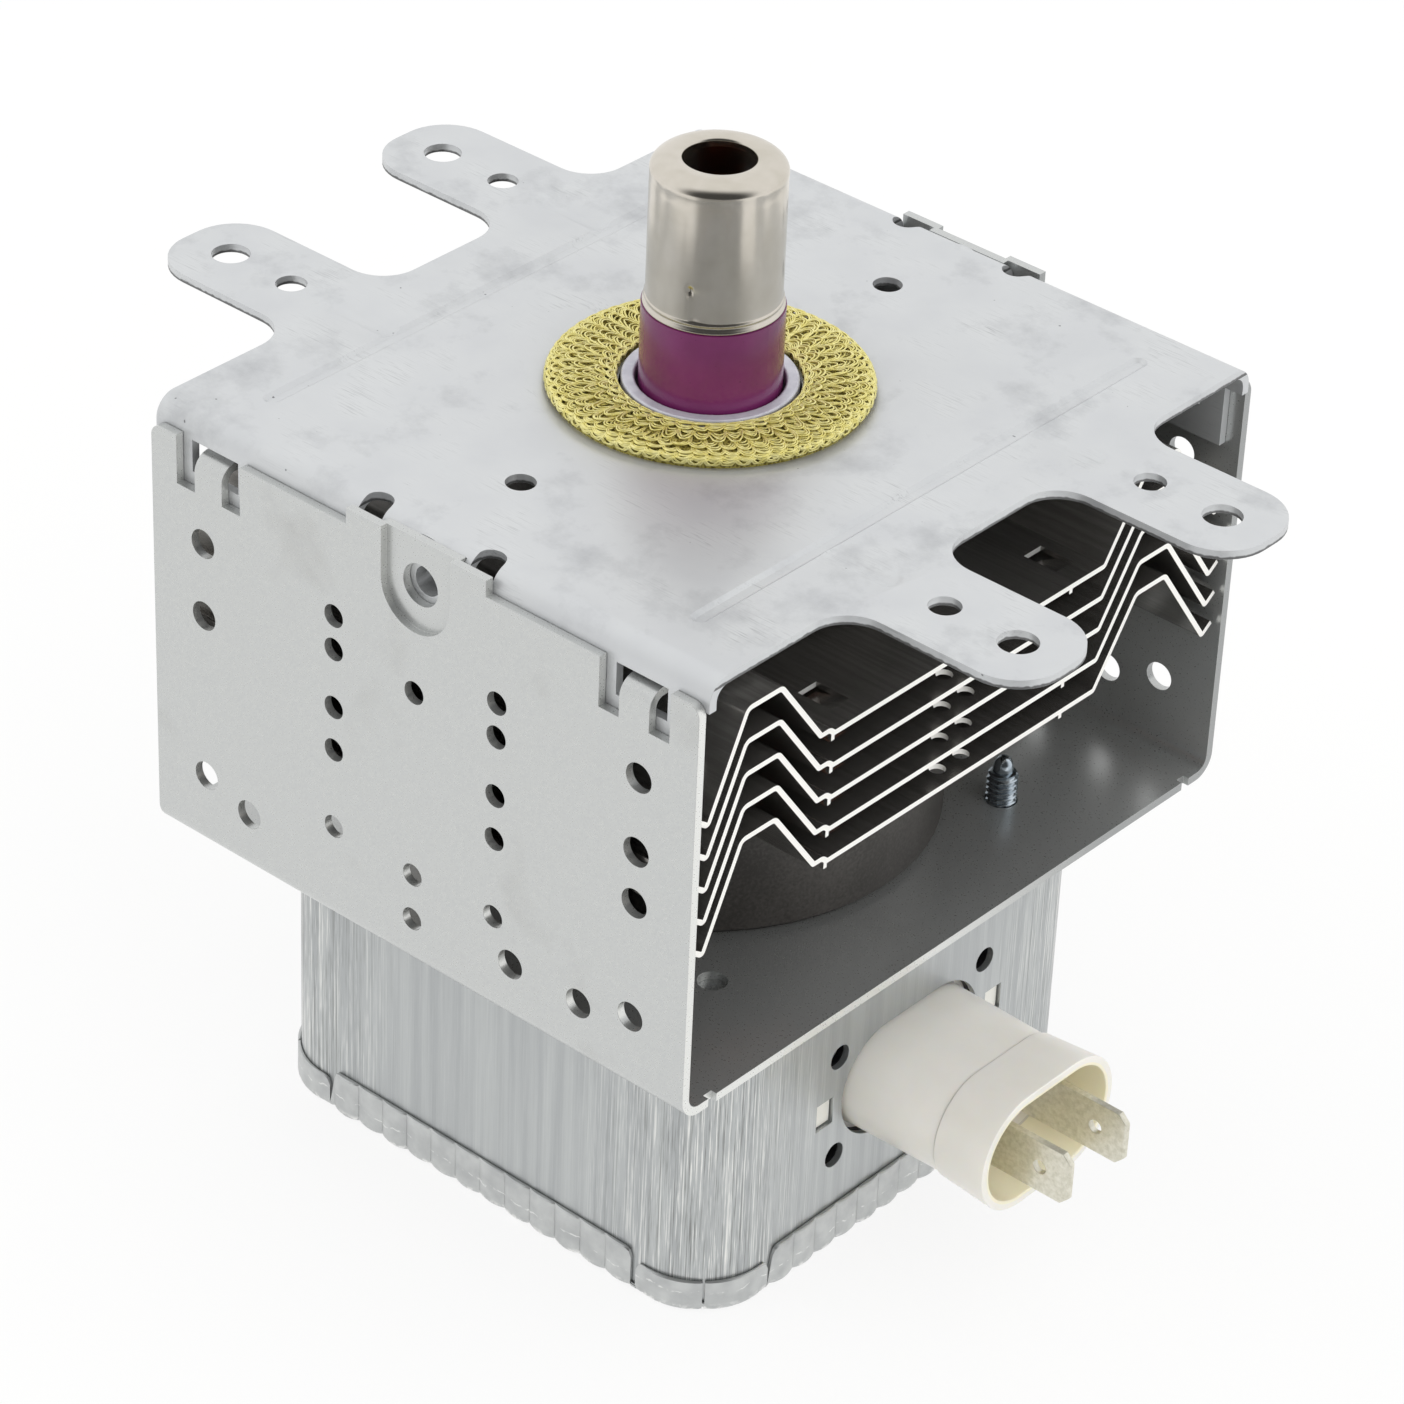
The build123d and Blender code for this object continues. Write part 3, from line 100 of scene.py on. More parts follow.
# The antenna cap
CAP_R = 7.05 * MM
CAP_FOOT = 9.3 * MM
CAP_TOP = 25.9 * MM
CAP_ROLLS = ((0.3 * MM, 0.22 * MM, 0.3 * MM), (0.14 * MM, 0.98 * MM, 0.16 * MM))  # proud, up, wide
CAP_SHOULDER = 1.4 * MM
CAP_SHOULDER_RUN = 2.2 * MM
CAP_WALL = 0.4 * MM
CAP_LIP = 1.3 * MM
CAP_GROOVE = 0.02 * MM
CAP_GROOVE_DOWN = 0.85 * MM
CAP_GROOVE_WIDTH = 0.3 * MM
CAP_SWELL = 0.03 * MM
CAP_HOLE_R = 3.75 * MM
CAP_HOLE_DEPTH = 0.9 * MM
CAP_RIM_R = 0.35 * MM
CAP_DENT = 0.34 * MM
CAP_DENT_WIDTH = 0.28 * MM
CAP_DENT_HEIGHT = 0.34 * MM
CAP_DENT_TURN = math.radians(-70)
CAP_DENT_Z = 14.0 * MM
CAP_CREASE = 0.12 * MM
CAP_CREASE_WIDTH = 0.5 * MM

# The two box screws
SCREW_X = 25 * MM
SCREW_Y = 22 * MM
SCREW_R = 1.75 * MM
SCREW_CORE_R = 1.38 * MM
SCREW_PITCH = 0.72 * MM
SCREW_STEP = 0.07 * MM
SCREW_BASE = -52.7 * MM
SCREW_TIP = -45.3 * MM
SCREW_POINT = 1.9 * MM
SCREW_POINT_R = 0.82 * SCREW_CORE_R
SCREW_CREST = 0.32  # half a crest's foot, in pitches
SCREW_RUN_OUT = 0.8 * MM
SCREW_END_R = 0.02 * MM
SCREW_HEAD_T = 2.2 * MM
SCREW_HEAD = (  # the pan head's radius, and how deep it is there as a share of its height
    (SCREW_END_R, 1), (1.4 * MM, 1), (2.4 * MM, 0.93), (3.05 * MM, 0.7), (3.3 * MM, 0.4), (3.3 * MM, 0),
)

# The filter box, its connector and its lid
BOX_LENGTH = 64.35 * MM
BOX_WIDTH = 62.4 * MM
BOX_SHIFT_X = -0.375 * MM
BOX_SHIFT_Y = -0.65 * MM
BOX_CORNER_R = 8.2 * MM
PLUG_Y = 0.21 * MM
PLUG_Z = -70.33 * MM
SHROUD_STRAIGHT = 3.9 * MM
SHROUD_INNER = 6.3 * MM
SHROUD_FOOT = 43.7 * MM
WINDOW_HALF = 2.0 * MM
LID_BOTTOM = -88.9 * MM
LID_T = 0.6 * MM
LID_RIM = 5.4 * MM
LID_TAB = 9.9 * MM
LID_TAB_HEIGHT = 4.1 * MM
LID_FLUTES = 12
LID_FLUTE_STEPS = 12
LID_FLUTE_DEPTH = 0.46 * MM
LID_FLUTE_TOP = 0.62  # share of the depth that a flute still has at the rim's top
LID_TAB_BOW = 0.12  # these two in flute depths
LID_CORNER_BULGE = 0.5
LID_SPLIT = 0.7 * MM
LID_SPLIT_R = 0.9 * MM
LID_CORNER_SLIT = 0.25 * MM
LID_SLIT_FOOT = 0.9 * MM
LID_NOTCH_FOOT = 1.3 * MM
LID_FOLD_R = 1.0 * MM
LID_PINCH = 0.5 * MM
SEAT = 0.05 * MM

# How far a tool and handling break each piece's edges
BROKEN_EDGES = {
    "yoke": 0.14 * MM, "top_plate": 0.14 * MM, "filter_box": 0.08 * MM, "ground_plate": 0.08 * MM,
    "terminal_blade_1": 0.08 * MM, "terminal_blade_2": 0.08 * MM, "connector_body": 0.22 * MM,
}


def srgb(code):
    """A hex colour as linear red, green, blue and alpha."""
    parts = [int(code[i:i + 2], 16) / 255 for i in (1, 3, 5)]
    linear = [c / 12.92 if c <= 0.04045 else ((c + 0.055) / 1.055) ** 2.4 for c in parts]
    return (*linear, 1.0)


def add(tree, kind, inputs=None, stops=(), **settings):
    """Adds a node with its settings, its values or links by socket, and a ramp's stops in hex."""
    node = tree.nodes.new(kind)
    for key, value in settings.items():
        setattr(node, key, value)
    for key, value in (inputs or {}).items():
        if isinstance(value, bpy.types.NodeSocket):
            tree.links.new(value, node.inputs[key])
        else:
            node.inputs[key].default_value = value
    for _ in stops[2:]:
        node.color_ramp.elements.new(0.5)
    for i, (position, code) in enumerate(stops):
        node.color_ramp.elements[i].position = position
        node.color_ramp.elements[i].color = srgb(code)
    return node


def set_up_camera():
    """The photograph's view, from above the connector side."""
    sin_a, cos_a = math.sin(CAMERA_AZIMUTH), math.cos(CAMERA_AZIMUTH)
    sin_e, cos_e = math.sin(CAMERA_ELEVATION), math.cos(CAMERA_ELEVATION)
    sin_r, cos_r = math.sin(CAMERA_ROLL), math.cos(CAMERA_ROLL)
    back = Vector((sin_a * cos_e, -cos_a * cos_e, sin_e))
    level = Vector((cos_a, sin_a, 0))
    upright = back.cross(level)
    right = cos_r * level + sin_r * upright
    up = cos_r * upright - sin_r * level
    data = bpy.data.cameras.new("photo_view")
    data.lens = CAMERA_LENS
    data.sensor_width = CAMERA_SENSOR
    camera = bpy.data.objects.new("photo_view", data)
    turned = Matrix((right, up, back)).transposed().to_4x4()
    camera.matrix_world = Matrix.Translation(CAMERA_PLACE) @ turned
    bpy.context.scene.collection.objects.link(camera)
    bpy.context.scene.camera = camera


def set_up_world():
    """A white studio, dimmer in reflections on the side where the photograph was taken."""
    world = bpy.data.worlds.new("studio")
    world.use_nodes = True
    tree = world.node_tree
    tree.nodes.clear()
    rays = add(tree, "ShaderNodeLightPath").outputs
    seen = add(tree, "ShaderNodeMath", {0: rays["Is Camera Ray"], 1: rays["Is Transmission Ray"]},
               operation="MAXIMUM").outputs[0]
    toward = add(tree, "ShaderNodeTexCoord").outputs["Generated"]
    turned = add(tree, "ShaderNodeVectorMath", {0: toward, 1: (DIM_WAY + DIM_RISE).normalized()},
                 operation="DOT_PRODUCT").outputs["Value"]
    mirrored = add(tree, "ShaderNodeMapRange", {
        "Value": turned, "From Min": 0.35, "From Max": 0.82, "To Min": 1.0, "To Max": DIM_SIDE,
    }, interpolation_type="SMOOTHSTEP").outputs[0]
    lit = add(tree, "ShaderNodeMix", {"Factor": rays["Is Glossy Ray"], "A": DAYLIGHT, "B": mirrored},
              data_type="FLOAT").outputs["Result"]
    level = add(tree, "ShaderNodeMath", {0: lit, 1: seen}, operation="MAXIMUM").outputs[0]
    sky = add(tree, "ShaderNodeBackground", {"Color": srgb("#FFFFFF"), "Strength": level}).outputs[0]
    add(tree, "ShaderNodeOutputWorld", {"Surface": sky})
    bpy.context.scene.world = world


def set_up_softbox(name, place, side, power):
    """A square lamp behind a diffuser, turned to the part."""
    data = bpy.data.lights.new(name, "AREA")
    data.shape = "SQUARE"
    data.size = side
    data.energy = power
    lamp = bpy.data.objects.new(name, data)
    lamp.location = place
    lamp.rotation_euler = (-Vector(place)).to_track_quat("-Z", "Y").to_euler()
    lamp.visible_glossy = False  # gloss shows the studio's white walls, not the lamps
    bpy.context.scene.collection.objects.link(lamp)


def set_up_floor():
    """A pale floor that keeps the part's soft shadow, with a painted dark patch that only reflections show.
    """
    base = cad_box[0][2] - FLOOR_GAP
    mesh = bpy.data.meshes.new("floor")
    corners = [(x * FLOOR_SIZE, y * FLOOR_SIZE, base) for x, y in ((-1, -1), (1, -1), (1, 1), (-1, 1))]
    mesh.from_pydata(corners, [], [(0, 1, 2, 3)])
    floor = bpy.data.objects.new("floor", mesh)
    bpy.context.scene.collection.objects.link(floor)
    material = bpy.data.materials.new("studio_paper")
    material.use_nodes = True
    tree = material.node_tree
    tree.nodes.clear()
    rays = add(tree, "ShaderNodeLightPath").outputs
    # Seen only in reflections, the paper has a painted dark patch on the dim side, some way in front of the
    # part
    place = add(tree, "ShaderNodeTexCoord").outputs["Object"]
    flat = add(tree, "ShaderNodeVectorMath", {0: place, 1: (1, 1, 0)}, operation="MULTIPLY").outputs[0]
    ahead = add(tree, "ShaderNodeVectorMath", {0: flat, 1: DIM_WAY}, operation="DOT_PRODUCT").outputs["Value"]
    away = add(tree, "ShaderNodeVectorMath", {0: flat}, operation="LENGTH").outputs["Value"]
    lean = add(tree, "ShaderNodeMath", {0: ahead, 1: away}, operation="DIVIDE").outputs[0]
    side = add(tree, "ShaderNodeMapRange", {"Value": lean, "From Min": 0.72, "From Max": 0.9},
               interpolation_type="SMOOTHSTEP").outputs[0]
    end = add(tree, "ShaderNodeMapRange", {"Value": away, "From Min": 0.12, "From Max": 0.19, "To Max": 0.8},
              interpolation_type="SMOOTHSTEP").outputs[0]
    dark = add(tree, "ShaderNodeMath", {0: side, 1: end}, operation="MULTIPLY").outputs[0]
    bright = add(tree, "ShaderNodeMath", {0: 1.0, 1: dark}, operation="SUBTRACT").outputs[0]
    gloss, shade = [add(tree, "ShaderNodeMath", {0: part, 1: rays["Is Glossy Ray"]},
                        operation="MULTIPLY").outputs[0] for part in (bright, dark)]
    seen = add(tree, "ShaderNodeMath", {0: rays["Is Camera Ray"], 1: gloss}, operation="MAXIMUM").outputs[0]
    glow = add(tree, "ShaderNodeMath", {0: seen, 1: FLOOR_GLOW}, operation="MULTIPLY").outputs[0]
    tint = add(tree, "ShaderNodeMix", {"Factor": shade, "A": srgb("#F4F4F2"), "B": srgb("#3A3A3A")},
               data_type="RGBA").outputs["Result"]
    paper = add(tree, "ShaderNodeBsdfDiffuse", {"Color": tint}).outputs[0]
    light = add(tree, "ShaderNodeEmission", {"Color": srgb("#FFFFFF"), "Strength": 1.0}).outputs[0]
    both = add(tree, "ShaderNodeMixShader", {0: glow, 1: paper, 2: light}).outputs[0]
    add(tree, "ShaderNodeOutputMaterial", {"Surface": both})
    mesh.materials.append(material)


# Materials. Each starts from the real stuff and the way its surface was made.

def start_material(name, roughness, metallic):
    """A material with its main shader; gives the material, its tree, the shader and the place in metres."""
    material = bpy.data.materials.new(name)
    material.use_nodes = True
    tree = material.node_tree
    tree.nodes.clear()
    shader = add(tree, "ShaderNodeBsdfPrincipled", {"Roughness": roughness, "Metallic": metallic})
    add(tree, "ShaderNodeOutputMaterial", {"Surface": shader.outputs[0]})
    place = add(tree, "ShaderNodeTexCoord").outputs["Object"]
    return material, tree, shader, place


def finish_material(material, shader, base, layers=(), dull=None, relief=None, **relief_settings):
    """Lays colours over the base where their masks say, and links colour, roughness and relief.

    dull is a value, the two ends of its range and the roughness at each; relief is a height, how
    strong it shows and how deep it is in millimetres."""
    tree = material.node_tree
    for mask, colour in layers:
        over = srgb(colour) if isinstance(colour, str) else colour
        base = add(tree, "ShaderNodeMix", {"Factor": mask, "A": base, "B": over},
                   data_type="RGBA").outputs["Result"]
    tree.links.new(base, shader.inputs["Base Color"])
    if dull:
        sockets = ("Value", "From Min", "From Max", "To Min", "To Max")
        rough = add(tree, "ShaderNodeMapRange", dict(zip(sockets, dull)))
        tree.links.new(rough.outputs[0], shader.inputs["Roughness"])
    if relief:
        height, strength, depth = relief
        bump = add(tree, "ShaderNodeBump", {"Height": height, "Strength": strength, "Distance": depth * MM},
                   **relief_settings)
        tree.links.new(bump.outputs[0], shader.inputs["Normal"])
    return material


def streaks(tree, place, sizes, detail, turn=0.0):
    """A noise whose grains have these sizes in millimetres along X, Y and Z, turned in the X-Y plane."""
    lay = add(tree, "ShaderNodeMapping", {"Vector": place, "Rotation": (0, 0, turn),
                                          "Scale": [1 / (size * MM) for size in sizes]})
    return add(tree, "ShaderNodeTexNoise", {"Vector": lay.outputs[0], "Scale": 1.0,
                                            "Detail": detail}).outputs["Fac"]


def spots(tree, place, size, detail, start, full, most=1.0, roughness=0.5):
    """Spots of a size in millimetres, which begin to show at one value of a noise and are full at another."""
    patch = add(tree, "ShaderNodeTexNoise", {"Vector": place, "Scale": 1 / (size * MM), "Detail": detail,
                                             "Roughness": roughness}).outputs["Fac"]
    return add(tree, "ShaderNodeMapRange", {"Value": patch, "From Min": start, "From Max": full,
                                            "To Max": most}).outputs[0]


def facing(tree, axis):
    """How squarely the surface faces along an axis, either way."""
    normal = add(tree, "ShaderNodeNewGeometry").outputs["Normal"]
    part = add(tree, "ShaderNodeSeparateXYZ", {"Vector": normal}).outputs[axis]
    return add(tree, "ShaderNodeMath", {0: part}, operation="ABSOLUTE").outputs[0]


def zinc_plated_strip():
    """Electro-galvanised mild steel strip of the yoke, rolled, punched and folded.

    The zinc's fine crystals give a satin grey with a faint speckle; the punched edges are lighter, with
    painted light and shade along them."""
    material, tree, shader, place = start_material("zinc_plated_strip", 0.3, 0.72)
    crystal = add(tree, "ShaderNodeTexNoise", {"Vector": place, "Scale": 1 / (0.22 * MM),
                                               "Detail": 2.0}).outputs["Fac"]
    base = add(tree, "ShaderNodeValToRGB", {"Fac": crystal},
               stops=((0.3, "#C3C5C5"), (0.5, "#C7C9C8"), (0.7, "#CBCDCB"))).outputs["Color"]
    # Handling leaves faint dark rubs
    rub = spots(tree, place, 16, 3.0, 0.58, 0.76, most=0.24, roughness=0.6)
    cut = add(tree, "ShaderNodeMapRange", {"Value": facing(tree, "X"), "From Min": 0.72,
                                           "From Max": 0.85}).outputs[0]
    # Painted light and shade on the cut: bright at the near wall, darker towards the far wall, where shade
    # falls inside the yoke
    across = add(tree, "ShaderNodeSeparateXYZ", {"Vector": place}).outputs["Y"]
    far_wall_shade = add(tree, "ShaderNodeMapRange", {"Value": across, "From Min": -8 * MM,
                                             "From Max": 24 * MM}).outputs[0]
    edge = add(tree, "ShaderNodeValToRGB", {"Fac": far_wall_shade},
               stops=((0.0, "#E6E7E4"), (1.0, "#A2A4A4"))).outputs["Color"]
    return finish_material(material, shader, base, [(rub, "#8F8C87"), (cut, edge)],
                           dull=(crystal, 0.3, 0.7, 0.31, 0.27), relief=(crystal, 0.03, 0.04))


def zinc_plated_plate():
    """The top plate's strip, brighter than the yoke, with rub marks of stacking and a blanked edge.

    A blanked edge is smooth for two thirds of its height and torn and dark below that."""
    material, tree, shader, place = start_material("zinc_plated_plate", 0.4, 0.6)
    patch = add(tree, "ShaderNodeTexNoise", {"Vector": place, "Scale": 1 / (9 * MM),
                                             "Detail": 4.0}).outputs["Fac"]
    base = add(tree, "ShaderNodeValToRGB", {"Fac": patch},
               stops=((0.35, "#CDCFD1"), (0.65, "#D3D5D6"))).outputs["Color"]
    # Fine scratches in two directions, in patches
    lines = add(tree, "ShaderNodeMath", {0: streaks(tree, place, (5, 0.16, 0.16), 2.0, 0.5),
                                         1: streaks(tree, place, (3, 0.2, 0.2), 2.0, 2.1)},
                operation="MAXIMUM").outputs[0]
    lines = add(tree, "ShaderNodeMapRange", {"Value": lines, "From Min": 0.58, "From Max": 0.76}).outputs[0]
    where = add(tree, "ShaderNodeMapRange", {"Value": patch, "From Min": 0.52, "From Max": 0.66,
                                             "To Max": 0.5}).outputs[0]
    marks = add(tree, "ShaderNodeMath", {0: lines, 1: where}, operation="MULTIPLY").outputs[0]
    # Soft grey smudges of press oil, and rare dark specks of press dirt
    smudge = spots(tree, place, 13, 7.0, 0.52, 0.7, most=0.6, roughness=0.68)
    grit = spots(tree, place, 0.9, 1.0, 0.79, 0.82, most=0.8)
    # The torn zone low on the ears' blanked edge
    height = add(tree, "ShaderNodeSeparateXYZ", {"Vector": place}).outputs["Z"]
    steep = add(tree, "ShaderNodeMapRange", {"Value": facing(tree, "Z"), "From Min": 0.25,
                                             "From Max": 0.1}).outputs[0]
    ragged = add(tree, "ShaderNodeTexNoise", {"Vector": place, "Scale": 1 / (0.7 * MM),
                                              "Detail": 2.0}).outputs["Fac"]
    level = add(tree, "ShaderNodeMath", {0: ragged, 1: 0.35 * MM, 2: height},
                operation="MULTIPLY_ADD").outputs[0]
    torn = add(tree, "ShaderNodeMapRange", {"Value": level, "From Min": -0.47 * MM, "From Max": -0.6 * MM,
                                            "To Max": 0.85}).outputs[0]
    on_sheet = add(tree, "ShaderNodeMath", {0: height, 1: -1.05 * MM}, operation="GREATER_THAN").outputs[0]
    for mask in (steep, on_sheet):
        torn = add(tree, "ShaderNodeMath", {0: torn, 1: mask}, operation="MULTIPLY").outputs[0]
    layers = [(marks, "#85878A"), (smudge, "#A9ABAE"), (grit, "#55565A"), (torn, "#4C4C4C")]
    return finish_material(material, shader, base, layers, dull=(marks, 0.0, 1.0, 0.42, 0.6),
                           relief=(marks, 0.2, 0.03))


def drawn_can_steel():
    """Tin-plated deep-drawn steel of the filter box.

    Drawing over the punch leaves bright and dark lines up the walls, most of them round the corners."""
    material, tree, shader, place = start_material("drawn_can_steel", 0.36, 0.8)
    # The lines are torn rough where the sheet galled on the tool
    gall = add(tree, "ShaderNodeMath", {0: streaks(tree, place, (0.15, 0.15, 3), 2.0), 1: 0.3},
               operation="MULTIPLY").outputs[0]
    line = add(tree, "ShaderNodeMath", {0: streaks(tree, place, (0.17, 0.17, 15), 3.0), 1: 0.7, 2: gall},
               operation="MULTIPLY_ADD").outputs[0]
    # How near a corner of the can: the product of how near both faces
    parts = add(tree, "ShaderNodeSeparateXYZ", {"Vector": place}).outputs
    near = []
    for axis in ("X", "Y"):
        off = add(tree, "ShaderNodeMath", {0: parts[axis]}, operation="ABSOLUTE").outputs[0]
        near.append(add(tree, "ShaderNodeMapRange", {"Value": off, "From Min": 13 * MM,
                                                     "From Max": 28 * MM}).outputs[0])
    corner = add(tree, "ShaderNodeMath", {0: near[0], 1: near[1]}, operation="MULTIPLY").outputs[0]
    depth = add(tree, "ShaderNodeMapRange", {"Value": corner, "To Min": 0.07, "To Max": 0.9}).outputs[0]
    base = add(tree, "ShaderNodeValToRGB", {"Fac": streaks(tree, place, (1.4, 1.4, 40), 1.0)},
               stops=((0.35, "#B3B6B7"), (0.65, "#BFC2C2"))).outputs["Color"]
    layers = []
    for start, full, code in ((0.53, 0.62, "#F0F0EC"), (0.47, 0.37, "#8B8C8A")):
        shown = add(tree, "ShaderNodeMapRange", {"Value": line, "From Min": start,
                                                 "From Max": full}).outputs[0]
        shown = add(tree, "ShaderNodeMath", {0: shown, 1: depth}, operation="MULTIPLY").outputs[0]
        layers.append((shown, code))
    height = add(tree, "ShaderNodeMath", {0: line, 1: depth}, operation="MULTIPLY").outputs[0]
    return finish_material(material, shader, base, layers, dull=(line, 0.3, 0.7, 0.44, 0.3),
                           relief=(height, 0.35, 0.06))


def crimped_tinplate():
    """Tinplate of the lid, crimped over the can; painted highlights mark the flutes' feet and a line half way
    up.
    """
    material, tree, shader, place = start_material("crimped_tinplate", 0.34, 0.8)
    cloud = add(tree, "ShaderNodeTexNoise", {"Vector": place, "Scale": 1 / (2.5 * MM),
                                             "Detail": 5.0}).outputs["Fac"]
    base = add(tree, "ShaderNodeValToRGB", {"Fac": cloud},
               stops=((0.35, "#B8BABA"), (0.65, "#CACCCB"))).outputs["Color"]
    height = add(tree, "ShaderNodeSeparateXYZ", {"Vector": place}).outputs["Z"]
    # The flutes' feet, where highlights are painted on
    foot = add(tree, "ShaderNodeMapRange", {"Value": height, "From Min": -87.7 * MM,
                                            "From Max": -88.3 * MM}).outputs[0]
    glint_spots = spots(tree, place, 1.1, 3.0, 0.5, 0.62)
    # The underside's flat gets no painted highlight
    bent = add(tree, "ShaderNodeMath", {0: facing(tree, "Z"), 1: 0.95}, operation="LESS_THAN").outputs[0]
    # A thin painted highlight line half way up
    wavy = add(tree, "ShaderNodeMath", {0: cloud, 1: 2.2 * MM, 2: height},
               operation="MULTIPLY_ADD").outputs[0]
    painted_glint_line = add(tree, "ShaderNodeMath", {0: wavy, 1: -85.2 * MM, 2: 0.09 * MM}, operation="COMPARE").outputs[0]
    for share in (glint_spots, 0.6):
        painted_glint_line = add(tree, "ShaderNodeMath", {0: painted_glint_line, 1: share}, operation="MULTIPLY").outputs[0]
    for share in (glint_spots, bent):
        foot = add(tree, "ShaderNodeMath", {0: foot, 1: share}, operation="MULTIPLY").outputs[0]
    # Painted highlights at the flutes' feet and along the line half way up
    bright = add(tree, "ShaderNodeMath", {0: foot, 1: painted_glint_line}, operation="MAXIMUM").outputs[0]
    return finish_material(material, shader, base, [(bright, "#F4F4F2")], relief=(cloud, 0.15, 0.05))


def rolled_aluminium():
    """Bright-rolled aluminium sheet of the fins: a soft mirror on its faces, white where it was sheared."""
    material, tree, shader, place = start_material("rolled_aluminium", 0.24, 0.85)
    base = add(tree, "ShaderNodeValToRGB", {"Fac": streaks(tree, place, (14, 0.5, 0.5), 3.0)},
               stops=((0.35, "#8B8884"), (0.65, "#9D9A96"))).outputs["Color"]
    cut = add(tree, "ShaderNodeMapRange", {"Value": facing(tree, "X"), "From Min": 0.7,
                                           "From Max": 0.85}).outputs[0]
    # The walls of the small holes in the ends are sheared as well
    wall = add(tree, "ShaderNodeMath", {0: facing(tree, "Z"), 1: 0.4}, operation="LESS_THAN").outputs[0]
    parts = add(tree, "ShaderNodeSeparateXYZ", {"Vector": place}).outputs
    out = add(tree, "ShaderNodeMath", {0: parts["X"]}, operation="ABSOLUTE").outputs[0]
    out = add(tree, "ShaderNodeMath", {0: out, 1: 31 * MM}, operation="GREATER_THAN").outputs[0]
    amid = add(tree, "ShaderNodeMath", {0: parts["Y"], 1: 0.0, 2: 5 * MM}, operation="COMPARE").outputs[0]
    for mask in (out, amid):
        wall = add(tree, "ShaderNodeMath", {0: wall, 1: mask}, operation="MULTIPLY").outputs[0]
    cut = add(tree, "ShaderNodeMath", {0: cut, 1: wall}, operation="MAXIMUM").outputs[0]
    sheen = add(tree, "ShaderNodeMapRange", {"Value": cut, "To Min": 0.85, "To Max": 0.25}).outputs[0]
    tree.links.new(sheen, shader.inputs["Metallic"])
    return finish_material(material, shader, base, [(cut, "#FBFAF6")], dull=(cut, 0.0, 1.0, 0.24, 0.55))


def pressed_wire_core():
    """The inside of the knitted ring, where pressed wires lie close together: light on the wires, with
    painted shade in the gaps between them.
    """
    material, tree, shader, place = start_material("pressed_wire_core", 0.45, 0.6)
    grain = add(tree, "ShaderNodeTexVoronoi", {"Vector": place, "Scale": 1 / (0.45 * MM)},
                feature="DISTANCE_TO_EDGE").outputs["Distance"]
    # Painted shade: light on the wires' crowns, dark olive in the gaps
    base = add(tree, "ShaderNodeValToRGB", {"Fac": grain},
               stops=((0.0, "#C9BD66"), (0.25, "#7C7034"))).outputs["Color"]
    return finish_material(material, shader, base, relief=(grain, 0.6, 0.15), invert=True)


def satin_nickel():
    """Nickel-plated steel of the antenna cap, deep-drawn and tumbled to a satin shine."""
    material, tree, shader, place = start_material("satin_nickel", 0.2, 1.0)
    haze = add(tree, "ShaderNodeTexNoise", {"Vector": place, "Scale": 1 / (4 * MM),
                                            "Detail": 5.0}).outputs["Fac"]
    base = add(tree, "ShaderNodeValToRGB", {"Fac": haze},
               stops=((0.35, "#CDC7BB"), (0.65, "#D8D2C8"))).outputs["Color"]
    return finish_material(material, shader, base, dull=(haze, 0.3, 0.7, 0.24, 0.17),
                           relief=(streaks(tree, place, (6, 6, 0.12), 2.0), 0.06, 0.02))


def tinned_blade_brass():
    """Tinned brass of the push-on tabs, punched from strip; the tin is mottled and dulls to a warm grey."""
    material, tree, shader, place = start_material("tinned_blade_brass", 0.38, 0.75)
    mottle = add(tree, "ShaderNodeTexNoise", {"Vector": place, "Scale": 1 / (0.6 * MM), "Detail": 4.0,
                                              "Roughness": 0.6}).outputs["Fac"]
    base = add(tree, "ShaderNodeValToRGB", {"Fac": mottle},
               stops=((0.34, "#D2CFBE"), (0.5, "#DEDBCC"), (0.66, "#E8E5D8"))).outputs["Color"]
    return finish_material(material, shader, base, dull=(mottle, 0.3, 0.7, 0.42, 0.34),
                           relief=(mottle, 0.1, 0.05))


def ground_plate_painted_dark_and_lit():
    """Steel of the ground plate, painted near black as shade inside the can, with painted light on its two
    tabs at the windows' height.
    """
    material, tree, shader, place = start_material("ground_plate_painted_dark_and_lit", 0.5, 0.6)
    crystal = add(tree, "ShaderNodeTexNoise", {"Vector": place, "Scale": 1 / (0.5 * MM),
                                               "Detail": 3.0}).outputs["Fac"]
    # Painted shade: near black, as the plate lies in the can's shade
    base = add(tree, "ShaderNodeValToRGB", {"Fac": crystal},
               stops=((0.35, "#1D1D1E"), (0.65, "#2A2A2B"))).outputs["Color"]
    height = add(tree, "ShaderNodeSeparateXYZ", {"Vector": place}).outputs["Z"]
    # Painted light on the two tabs, in the band of the windows
    tabs = add(tree, "ShaderNodeMath", {0: height, 1: PLUG_Z, 2: WINDOW_HALF}, operation="COMPARE").outputs[0]
    return finish_material(material, shader, base, [(tabs, "#F2F1EA")], relief=(crystal, 0.15, 0.04))


